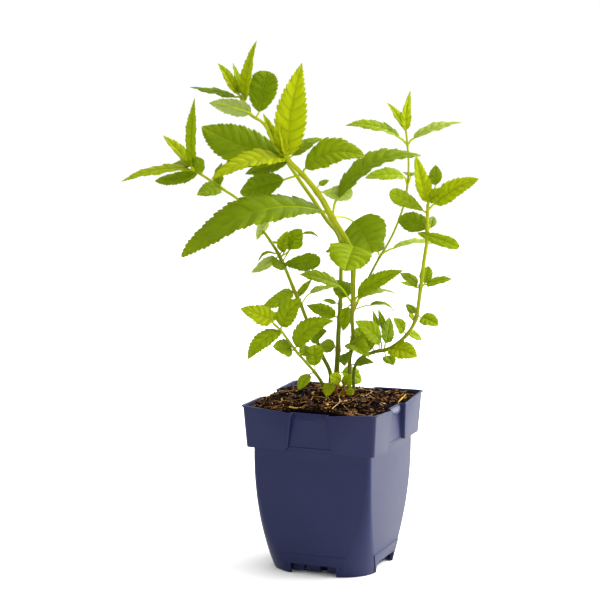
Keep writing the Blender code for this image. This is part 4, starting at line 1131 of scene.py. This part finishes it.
def add_blade(body, one, frame_of, chance):
    """One leaf's blade: two faces with teeth round the edge and soft quilting between the side veins."""
    base, tip = frame_of[:2]
    length = np.linalg.norm(tip - base)
    young = TONES[one.tone] > 0.6
    teeth = round(6 + (0.17 if young else 0.19) * length)
    wide = one.width / 2
    half = BLADE_COLUMNS if one.width > 9 else BLADE_COLUMNS[::2]
    columns = np.array([-v for v in reversed(half)] + list(half[1:]))
    rows = [(tooth + step) / teeth for tooth in range(teeth) for step, _ in TOOTH_STEPS] + [1.0]
    tooth = [height for _ in range(teeth) for _, height in TOOTH_STEPS] + [0.0]
    share, across = np.meshgrid(rows, columns, indexing="ij")
    tooth = np.broadcast_to(np.array(tooth)[:, None], share.shape)
    out_share = np.abs(across)
    near_edge = ramp(out_share, 0.62, 1.0)
    lean = min(VEIN_LEAN * wide / length, 0.2)
    u = share + lean * 4 * share * (1 - share) * out_share**1.3
    u = np.clip(u + TOOTH_FORWARD / teeth * tooth * near_edge * (1 - share), 0, 1)
    spread = wide * half_width(one, u)
    tooth_size = min(0.40 * length / teeth, 0.15 * wide) * np.clip(spread / (0.35 * wide), 0, 1)
    reach = across * (spread + 0.22) + np.sign(across) * near_edge * tooth_size * (tooth - 0.55)

    veins = min(9, max(4, round(3 + length / 9.5)))
    phase = veins * share**0.88 + 0.15
    bulge = np.sin(np.pi * (phase % 1)) ** 0.8 - 0.35
    quilt = min(QUILT_MOST, QUILT * one.width) * bulge * (1 - out_share**3) * ramp(out_share, 0.0, 0.2)
    fold = math.sin(one.fold)
    height = math.copysign(1.0, fold) * (np.sqrt((reach * fold) ** 2 + 0.16) - 0.4)
    height = height + HALF_ARCH * one.width * 4 * out_share * (1 - out_share) * half_width(one, u)
    height = height + quilt * np.clip(spread / wide, 0, 1)
    height = height - GROOVE * np.exp(-((reach / GROOVE_REACH) ** 2)) * (1 - 0.6 * share)
    way, way_two, size, twist = chance.uniform(0, 2 * math.pi, 2).tolist() + chance.uniform(-1, 1, 2).tolist()
    turns = 2 * math.pi * (1.4 + 0.5 * size)
    wave = np.where(across > 0, np.sin(turns * share + way), np.sin(turns * 1.2 * share + way_two))
    height = height + wave * WAVE * one.width * out_share**2.5 * half_width(one, u)
    ruffle = np.sin(2 * math.pi * (teeth / 2.6) * share + way) * np.sign(across)
    height = height + ruffle * min(RUFFLE_MOST, RUFFLE * one.width) * out_share**3 * half_width(one, u)
    height = height + reach * TWIST * twist * (u - 0.4)

    middle, side, out = midrib(one, frame_of, u)
    surface = middle + side * (reach * math.cos(one.fold))[..., None] + out * height[..., None]
    thick = (BLADE_THICK * (1 - 0.6 * out_share**4) / 2)[..., None]
    points = np.concatenate([(surface + out * thick).reshape(-1, 3), (surface - out * thick).reshape(-1, 3)])

    count = len(rows)
    wide_count = len(columns)
    under = count * wide_count
    upper_faces = rows_to_faces(count, wide_count)
    faces = upper_faces + [tuple(under + i for i in reversed(face)) for face in upper_faces]
    left = [row * wide_count for row in range(count)]
    right = [i + wide_count - 1 for i in left]
    foot = list(range(wide_count))
    top = [under - wide_count + i for i in range(wide_count)]
    for line in (left, list(reversed(right)), list(reversed(foot)), top):
        faces += [(a, b, under + b, under + a) for a, b in zip(line, line[1:])]
    tone = TONES[one.tone] + chance.uniform(-0.07, 0.07)
    twice = {"share": share, "across": across, "phase": phase, "run": share * length, "off": reach}
    marks = {name: np.tile(values.ravel(), 2) for name, values in twice.items()}
    marks["under"] = np.repeat([0.0, 1.0], under)
    pale = float(one.tone == "pale")
    body.add(points, faces, tone=tone, pale=pale, gap=length / veins, chance=chance.uniform(0, 1), **marks)
    return tone


def add_stalk(body, one, frame_of, root, direction, tone):
    """A leaf's stalk, which runs on under the blade as its midrib."""
    base, tip, along = frame_of[:3]
    length = np.linalg.norm(tip - base)
    radius = min(0.78, 0.34 + 0.009 * length)
    path = []
    radii = []
    gap = np.linalg.norm(base - root)
    if gap > 0.1:
        leave = unit(unit(base - root) + 0.14 * direction) * gap
        arrive = unit(unit(base - root) + 0.8 * along) * gap
        for t in np.linspace(0, 1, max(5, int(gap / 1.5)))[:-1]:
            path.append((2 * t**3 - 3 * t**2 + 1) * root + (t**3 - 2 * t**2 + t) * leave
                        + (3 * t**2 - 2 * t**3) * base + (t**3 - t**2) * arrive)
            radii.append(radius * (1.18 - 0.18 * math.sin(math.pi * min(1, t * 2))))
    shares = np.linspace(0.0, 0.94, max(8, int(length / 2.2)))
    middle, _, out = midrib(one, frame_of, shares)
    below = (0.10 + 0.30 * (1 - 0.6 * shares) + BLADE_THICK / 4)[:, None]
    path += list(middle - out * below)
    radii += list(radius * (1 - shares) ** 0.8 * 0.85 + 0.10)
    points, faces = tube(np.array(path), radii, 7)
    body.add(points, faces, tone=tone, rib=1.0, under=0.4)


def make_leafy_stem(name, stems, leaves, green, stem_green, hair, chance):
    """One leafy stem as three pieces: its blades and their stalks, its stems, and its fine hairs."""
    blades = Body(*LEAF_MARKS)
    wood = Body("share", "joint")
    hairs = Body()
    joints = []
    for one in leaves:
        root, direction = root_on(stems, one.stalk)
        joints.append(root)
        frame_of = blade_frame(one, root)
        tone = add_blade(blades, one, frame_of, chance)
        add_stalk(blades, one, frame_of, root, direction, tone)
    joints = np.array(joints)
    for one in stems:
        path, shares = smooth_path(one.axis, STEM_STEP)
        radii = np.interp(shares, np.linspace(0, 1, len(one.axis)), one.radii)
        near = np.linalg.norm(path[:, None, :] - joints[None, :, :], axis=2).min(axis=1)
        swell = np.exp(-((near / JOINT_REACH) ** 2))
        rings = radii * (1 + JOINT_SWELL * swell)
        rings[-1] *= 0.55
        points, faces = tube(path, rings, STEM_SIDES, square=STEM_SQUARENESS)
        along = np.repeat(np.linspace(0, 1, len(path)), STEM_SIDES)
        wood.add(points, faces, share=along, joint=np.repeat(swell, STEM_SIDES))
        add_hairs(hairs, path, rings, chance)
    pieces = [blades.piece(name + "_leaves", green, 70.0), wood.piece(name + "_stem", stem_green, 60.0)]
    pieces.append(hairs.piece(name + "_hairs", hair, 60.0))
    return pieces


def add_hairs(body, path, radii, chance):
    """Fine short hairs that stand out of a stem, each a three-sided spike."""
    along, across, other = along_path(path)
    count = len(path) * HAIRS_A_STEP
    places = chance.uniform(0, len(path) - 1.001, count)
    angles = chance.uniform(0, 2 * math.pi, count)
    sizes = chance.uniform(0.30, 0.80, count)
    corner = np.arange(3) * 2 * math.pi / 3
    index = places.astype(int)
    part = (places - index)[:, None]
    centre = path[index] * (1 - part) + path[index + 1] * part
    out = np.cos(angles)[:, None] * across[index] + np.sin(angles)[:, None] * other[index]
    along = along[index]
    around = np.cross(along, out)
    start = centre + out * (radii[index] * 0.86)[:, None]
    lean = along * chance.uniform(-0.35, 0.25, count)[:, None]
    lean = lean + around * chance.uniform(-0.3, 0.3, count)[:, None]
    tips = start + unit(out + lean) * (sizes + 0.14 * radii[index])[:, None]
    ring = np.cos(corner)[:, None] * along[:, None, :] + np.sin(corner)[:, None] * around[:, None, :]
    rings = start[:, None, :] + HAIR_RADIUS * ring
    points = np.concatenate([rings, tips[:, None, :]], axis=1).reshape(-1, 3)
    faces = []
    for i in range(count):
        a = 4 * i
        faces += [(a, a + 1, a + 3), (a + 1, a + 2, a + 3), (a + 2, a, a + 3), (a + 2, a + 1, a)]
    body.add(points, faces)


MAIN = [
    stem((2.7, 2.7, 2.9, 3.3, 4.8, 5.0, 4.2, 3.4), [
        (347.5, 404, 4), (348.5, 391, 4), (349.5, 374, 4), (350, 357, 3), (353, 341, 2), (352, 318, 0),
        (353, 306, -1), (353, 286, -3), (353, 265, -5), (349, 247, -8), (341, 232, -11), (332, 217.5, -14),
        (322.5, 200, -17), (312.5, 186, -20), (300, 172, -22), (286, 158, -25),
    ]),
    stem((2.2, 1.8, 1.5), [
        (353, 311, -1), (357.5, 302, 5), (370.7, 274, 17), (380, 256.5, 24), (386, 247, 28),
        (394.6, 230.5, 34), (403, 208, 40), (407, 189, 44), (408.7, 167, 47), (407.5, 145.5, 49),
        (406, 130.5, 50),
    ]),
]
MAIN_LEAVES = [
    # The crown of the main stem
    leaf((288.5, 156), (302, 63), 22, -10, -8, tone="young", arch=0.04, fold=14, bend=-0.045, widest=0.4,
         point=1.1),
    leaf((284.5, 155), (263.5, 113.6), 11, -6, 40, tone="bright", arch=0.0, fold=24, bend=-0.06),
    leaf((286, 155), (278, 124), 7, -12, 30, tone="bright", fold=30),
    leaf((284, 156), (202, 126.5), 29, 8, 20, tone="dark", fold=2, bend=-0.075, widest=0.48, point=1.0),
    leaf((284, 159), (211, 179.5), 19, -32, 48, tone="bright", arch=0.1, fold=14),
    leaf((287, 162), (245, 174), 14, 10, 35, tone="dark"),
    leaf((284, 179.5), (240, 192.5), 19.5, 12, 25, (302, 175), "dark", fold=-4, widest=0.5, point=0.95),
    leaf((292, 155.5), (322.5, 138.5), 12, 16, 45, (288, 160), "dark", arch=0.1),
    leaf((305, 168), (365, 157), 24, -12, 38, (303, 176), arch=0.12, fold=8, bend=-0.11, point=0.85),
    leaf((319, 185), (329, 180), 4, 4, 20, (316, 191), "dark"),
    leaf((322, 191.5), (352, 190), 12, 14, 25, (318, 193), "pale", arch=0.0, fold=4, bend=0.1, widest=0.6),
    # The big pairs at the joint below it
    leaf((321, 210.5), (181.5, 257), 28.5, -34, 42, (332, 216.5), "dark", arch=0.185, fold=8, widest=0.34,
         point=0.6),
    leaf((337, 198.5), (421, 155.5), 23, 10, 56, (334, 218), "dark", arch=0.15, fold=12, bend=-0.05,
         point=0.7),
    leaf((353, 221.5), (371.5, 254), 36, 14, 12, (333, 216), "dark", arch=0.08, fold=8, lift=18, bend=-0.04,
         point=0.7),
    leaf((353.5, 246.5), (345, 271), 30.5, -34, 8, (350, 249), arch=0.1, fold=8, lift=-3, widest=0.44,
         point=0.75),
    leaf((333, 250.5), (325.5, 251.5), 3, 14, 30, (350, 249), "dark"),
    # The middle joint
    leaf((357.5, 296), (403, 270.5), 13.5, -18, 32, (353.5, 305), arch=0.05, fold=12, bend=-0.03),
    leaf((364, 296), (397, 294), 8, 10, 66, (353.5, 306), "pale", arch=0.13),
    leaf((338, 285), (299.6, 274.5), 15, -10, 52, (352, 306), arch=0.06),
    leaf((348, 297), (335.5, 280), 14, 12, 15, (352.5, 304), "dark", arch=0.06),
    leaf((348.5, 307), (343, 331), 9, 14, 15, (352.5, 304), arch=0.04, lift=8),
    leaf((370, 305), (395, 313), 6, 10, 68, (355, 311), "dark", arch=0.2),
    leaf((356, 346), (366, 323), 13, 20, 25, (352.5, 349), lift=5),
    leaf((350, 343), (369, 357), 15, -24, 25, (352.5, 338), arch=0.1, fold=22),
    leaf((355, 364), (374, 363), 8, -14, 50, (350, 366), "dark", arch=0.08),
    leaf((346, 353), (345, 366), 9, -16, 30, (350, 352), "dark"),
    # The side branch
    leaf((406.3, 130.5), (410.5, 91), 9, -4, -38, tone="bright", arch=0.02, fold=20, bend=-0.09),
    leaf((405.5, 130.5), (387.7, 103), 9, 4, 42, tone="bright", fold=24),
    leaf((400, 137.5), (345.7, 125.5), 16, -8, 58, (407.5, 145.5), arch=0.11),
    leaf((413.5, 138), (462, 122.5), 13, 8, 60, (407.5, 145.5), "pale", arch=0.07),
    leaf((404, 176), (365.4, 178), 12, -14, 42, (407, 187), arch=0.08, point=0.85),
    leaf((411, 176), (405, 172.5), 8, 26, 40, (407, 187), "dark"),
    leaf((393, 248), (444, 247), 12, 12, 70, (381.5, 255), "pale", arch=0.11),
    leaf((378, 252), (369, 238), 14, 34, 20, (380, 257), "dark"),
]

BACK = [
    stem((4.4, 4.0, 2.8, 3.2, 2.4, 2.0), [
        (336.5, 404, 13), (336.5, 391, 13), (336.5, 374, 14), (338, 350, 15), (338.5, 333, 16),
        (340.5, 300, 18), (341, 268, 20), (340.8, 244.5, 22), (336.5, 232, 23), (327.5, 221, 24),
        (313.5, 200, 25), (299.5, 180, 26), (286, 160, 27), (268, 130, 28), (261.5, 121.6, 28),
        (249, 113, 28), (240, 95, 28),
    ]),
]
BACK_LEAVES = [
    leaf((245.5, 100), (256.6, 40.7), 12, -4, 48, (242, 99), "bright", arch=0.05, fold=20),
    leaf((237, 93), (218, 63.5), 10, -8, 38, (240, 96), "bright", fold=20),
    leaf((239, 94), (233, 63), 7, 10, 50, (240, 97), fold=20),
    leaf((235, 96.5), (190, 87), 12, 8, 64, (240, 98), "dark", arch=0.01, fold=4),
    leaf((251, 113), (209, 103), 14, -14, 145, (252, 115), "pale", arch=0.06, fold=-8, bend=-0.02),
    leaf((259, 112), (266.5, 71), 21, 10, 10, (256, 118), "dark", fold=8, widest=0.45, point=0.55),
    leaf((335.5, 316.5), (306.5, 305), 11, 12, 30, (339, 318), arch=0.05),
    leaf((335, 347), (319, 345), 10, 18, 10, (338, 350), "dark"),
    leaf((336, 302.5), (323, 300.5), 5, -6, 45, (340.4, 305), "dark"),
    leaf((342, 372), (362, 381), 14, 14, 36, (337, 374), arch=0.08, lift=8, point=0.8),
]

LEFT = [
    stem((3.4, 2.7, 1.9), [
        (330.5, 404, 3), (330.5, 391, 3), (330, 372, 5), (322, 355, 8), (316.5, 340, 11), (306.5, 319, 15),
        (301, 305, 18), (295, 292, 21), (286, 270, 25), (279, 255, 28), (271, 242, 31), (262.5, 230, 34),
        (242, 203, 39), (222.8, 189, 43), (202, 175, 46), (194, 170, 47),
    ]),
]
LEFT_LEAVES = [
    leaf((193.5, 167), (194.6, 98.3), 12, -6, 44, (196, 171), arch=0.03, fold=20),
    leaf((190.5, 166), (163, 135.4), 11, 8, 42, (195, 170), "bright", fold=20),
    leaf((190, 169), (121.5, 181.4), 14, -16, 60, (195, 170.5), "bright", arch=0.07, fold=6),
    leaf((198, 172), (155, 181), 12.5, 10, 38, (200, 174), "dark", arch=-0.04, fold=-8, point=0.8),
    leaf((195, 169), (204, 160.5), 13, -8, 15, (197, 171.5), "dark", point=0.7),
    leaf((191, 166), (172, 164), 11, 26, 50, (197, 171), "dark"),
    leaf((220, 187.5), (197, 195), 13, -14, 30, (222.8, 189), "dark"),
    leaf((220.5, 184.5), (222, 162.5), 10, 12, 40, (222.8, 188), "dark", bend=-0.1),
    leaf((268, 221), (256.5, 240), 10, -4, 130, (262, 229), "pale", fold=16),
    leaf((275, 253), (258, 262), 6, -6, 68, (278.5, 254), arch=0.22),
    leaf((276, 258), (251, 272.5), 10, -10, 140, (279, 256), "pale", arch=-0.02),
    leaf((281.5, 252), (287.5, 231), 10, -6, 36, (280, 255), "bright", fold=20),
    leaf((290, 249.5), (302, 229.5), 15, -4, 20, (285.5, 261), arch=0.08, fold=-20, bend=-0.06, point=0.8),
    leaf((303, 233), (319, 237.5), 4, -2, 60, (287, 255), "dark", arch=0.15, lift=-2),
    leaf((289.5, 249), (267, 242), 7, 12, 66, (283, 256.5), "dark", arch=0.08),
    leaf((284, 265), (319.5, 264.5), 15, -22, 32, (284, 264), "dark", arch=0.03, fold=8, bend=-0.03,
         widest=0.6, point=0.7),
    leaf((283, 263), (273.5, 267), 13, -10, 30, (283.5, 263.5), "dark", fold=8, point=0.8),
    leaf((293, 292.5), (259.5, 310.5), 10.5, -16, 34, (295.5, 293), arch=0.0, fold=6),
    leaf((299, 296), (312, 279), 6, 6, 36, (297, 297)),
    leaf((310, 293), (334, 287), 7, 8, 56, (301, 305), "pale", arch=0.08),
    leaf((292.5, 292), (272.5, 306), 11, 30, 20, (293, 287), "dark"),
    leaf((310, 338), (327, 331), 12, -12, 36, (314, 336), "dark", arch=0.06, fold=-12),
    leaf((331, 383), (326.5, 397), 9, -20, 20, (330.5, 381), "bright", arch=0.04, lift=-12),
]

RIGHT = [
    stem((2.8, 2.4, 2.4, 2.8, 2.8, 2.0), [
        (354, 404, 12), (354, 391, 12), (353.5, 377, 12), (356, 364, 11), (363, 356.5, 9), (376, 351.5, 6),
        (388, 349, 3), (402.7, 339, 0), (411, 329, -2), (416.5, 317, -3), (419, 301, -5), (420.6, 288, -6),
        (424, 261, -8), (427, 242, -9), (427, 232, -10), (427.6, 212, -11), (428, 203, -12),
    ]),
]
RIGHT_LEAVES = [
    leaf((428, 202), (415.5, 155), 11.5, -4, 18, (428, 205), "bright", fold=18, bend=-0.03),
    leaf((434, 204), (478.6, 179), 15, -10, 30, (428, 212), "bright", bend=-0.04, point=0.85),
    leaf((429, 200), (446, 189), 9, -18, 30, (428, 206), "bright"),
    leaf((424, 211), (389.5, 193), 11.5, -8, 20, (427.6, 214), arch=0.0, fold=4, bend=0.03, widest=0.66,
         point=0.9),
    leaf((426, 229), (398, 218.5), 16, 14, 22, (427, 232), "dark", arch=0.03, bend=0.04, point=0.75),
    leaf((430, 228), (433, 216), 7.5, 24, 15, (427, 231), "dark"),
    leaf((435.5, 185), (435.5, 165), 10, 10, 20, (428, 207), "dark"),
    leaf((418, 232.5), (459, 247.5), 10, -16, 30, (427, 240), arch=0.03, fold=6, widest=0.6, point=0.8),
    leaf((417.5, 284.5), (400, 273), 9, 6, 40, (420.6, 288), "dark", arch=0.06),
    leaf((418, 287), (400.5, 282.5), 6, -6, 58, (420.6, 288.5), arch=0.02),
    leaf((425, 283), (428, 266), 9.5, 10, 20, (421, 287), point=0.8),
    leaf((426, 284), (452, 279), 10, -8, 52, (420.6, 288), arch=0.04, fold=4),
    leaf((415, 313), (406, 304), 7, 4, 32, (417, 317), "dark"),
    leaf((414, 321), (409.5, 311.5), 5, 8, 35, (416, 319), "bright"),
    leaf((421, 317), (438, 325.5), 12, -10, 32, (417, 316), arch=0.06, point=0.8),
    leaf((404, 332), (393.5, 318), 10, -4, 36, (407, 334), arch=0.08),
    leaf((408, 333), (422, 339.7), 9, 8, 50, (406, 336), arch=0.06),
    leaf((390, 348), (417, 357), 16, -16, 32, (387, 349), "bright", arch=0.08, point=0.8),
    leaf((386, 356), (393.5, 365), 9, -10, 30, (384, 350), point=0.8),
    leaf((385.5, 343), (389.5, 317), 10.5, 16, -24, (384, 350), "dark"),
    leaf((381, 341), (355, 321), 15, -14, 34, (381, 350.5), arch=0.06),
    leaf((373, 348), (363, 337), 11, -6, 26, (374, 352)),
    leaf((385, 332), (378.4, 309.3), 5, 12, 20, (384, 350), "dark", lift=10),
    leaf((378, 330), (372.6, 310), 4, 16, 20, (379, 351), "dark", lift=12),
]

LOW_LEFT = [
    stem((3.0, 1.8), [
        (325, 404, -5), (325, 394, -5), (322.5, 384, -6), (315, 372.6, -10), (303.5, 359.6, -15),
        (295, 349.6, -20), (282, 332, -27), (273, 323, -32),
    ]),
]
LOW_LEFT_LEAVES = [
    leaf((273, 320.5), (240.3, 308.5), 15, -4, 28, tone="bright"),
    leaf((281, 326.5), (301.5, 298.5), 14.5, -6, 15, (282, 332), arch=0.08, bend=-0.05, point=0.9),
    leaf((280.5, 331), (248, 359), 13, -14, 30, (282, 332.5), arch=0.12, bend=0.04, point=0.85),
    leaf((272, 322), (264, 306), 10, 16, 30, (275, 325), "bright"),
    leaf((292, 350), (273, 346.5), 13, -14, 30, (295, 350), "dark", arch=0.04, point=0.85),
    leaf((296, 347), (334, 321), 15, -14, 20, (295, 349.6), arch=0.1, fold=8, bend=-0.13),
    leaf((309, 374), (298.5, 390), 8.5, -8, 30, (315, 373), arch=0.06, point=0.8),
    leaf((315, 366), (313, 345), 14, -2, 20, (315, 373), widest=0.45, point=0.6),
    leaf((300, 354), (316, 349), 10, 18, 25, (298, 353), "dark"),
]

CROWN = [
    stem((2.4, 1.6), [
        (343, 404, -7), (343, 396, -7), (344, 387, -8), (345, 378, -9),
    ]),
]
CROWN_LEAVES = [
    leaf((341, 380.5), (329.5, 376), 8.5, -9, 15, (344, 386), "bright", arch=0.04, point=0.7),
    leaf((346, 385), (351, 374.5), 9, -10, 25, (344.5, 382), "bright"),
    leaf((346.5, 391), (354, 392), 5, -10, 20, (343.5, 391), "bright", point=0.6),
]

LEAFY_STEMS = {
    "stem_main": (MAIN, MAIN_LEAVES),
    "stem_back": (BACK, BACK_LEAVES),
    "stem_left": (LEFT, LEFT_LEAVES),
    "stem_right": (RIGHT, RIGHT_LEAVES),
    "stem_low_left": (LOW_LEFT, LOW_LEFT_LEAVES),
    "stem_crown": (CROWN, CROWN_LEAVES),
}


# Everything together


def stand_for(pieces, slot, node):
    """These pieces ride on the root body and stand for the node, if one is named. The slot is not used."""
    for piece in pieces:
        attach(piece, "root")
        if node:
            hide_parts(node)


def make_plant():
    hair = hair_finish()
    for i, (node, (stems, leaves)) in enumerate(LEAFY_STEMS.items()):
        name = node.replace("stem_", "")
        chance = np.random.default_rng(PLANT_SEED + i)
        green = leaf_finish(name + "_green")
        stem_green = stem_finish(name + "_stem_green")
        pieces = make_leafy_stem(name, stems, leaves, green, stem_green, hair, chance)
        stand_for(pieces, name + "_leaves", node)


def aimed(name, data, place, aim):
    """A light or camera at a place, which looks at the aim."""
    obj = bpy.data.objects.new(name, data)
    obj.location = place
    obj.rotation_euler = (aim - obj.location).to_track_quat("-Z", "Y").to_euler()
    bpy.context.scene.collection.objects.link(obj)
    return obj


def make_stage():
    """A pale floor, plain soft light from the right, and the camera of the plant's view."""
    scene = bpy.context.scene
    floor = Body()
    turns = np.arange(FLOOR_SIDES) * 2 * math.pi / FLOOR_SIDES
    ring = np.stack([np.cos(turns), np.sin(turns), np.zeros(FLOOR_SIDES)], axis=1) * (FLOOR_RADIUS / MM)
    floor.add(ring, [tuple(range(FLOOR_SIDES))])
    ground = floor.piece("floor", floor_finish())
    world = bpy.data.worlds.new("studio")
    world.use_nodes = True
    sky = world.node_tree.nodes["Background"].inputs
    sky["Color"].default_value = (1.0, 1.0, 1.0, 1.0)
    sky["Strength"].default_value = SKY_STRENGTH
    scene.world = world
    right = Vector(turned(1.0, 0.0, 0.0))
    away = Vector(turned(0.0, 1.0, 0.0))
    aim = Vector((0, 0, AIM_HEIGHT))
    for name, (power, size, place) in LIGHTS.items():
        light = bpy.data.lights.new(name, "AREA")
        light.energy = power
        light.shape = "DISK"
        light.size = size
        aimed(name, light, aim + right * place[0] + away * place[1] + Vector((0, 0, place[2])), aim)
    camera = bpy.data.cameras.new("camera")
    camera.sensor_width = SENSOR
    camera.lens = VIEW_FOCAL / PICTURE_SIZE * SENSOR
    camera.clip_end = 100.0
    target = Vector(turned(VIEW_AIM_ACROSS, 0.0, VIEW_AIM_UP)) * MM
    scene.camera = aimed("camera", camera, target + Vector(TO_VIEWER) * VIEW_DISTANCE * MM, target)
    scene.view_settings.view_transform = "Standard"


peat = peat_finish()
soil_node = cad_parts["soil"]
soil_node.data.materials.clear()
soil_node.data.materials.append(peat)
stand_for([make_pot(plastic_finish())], "pot_plastic", "pot")
stand_for(make_soil(peat, np.random.default_rng(PLANT_SEED)), "peat", None)
make_plant()
make_stage()
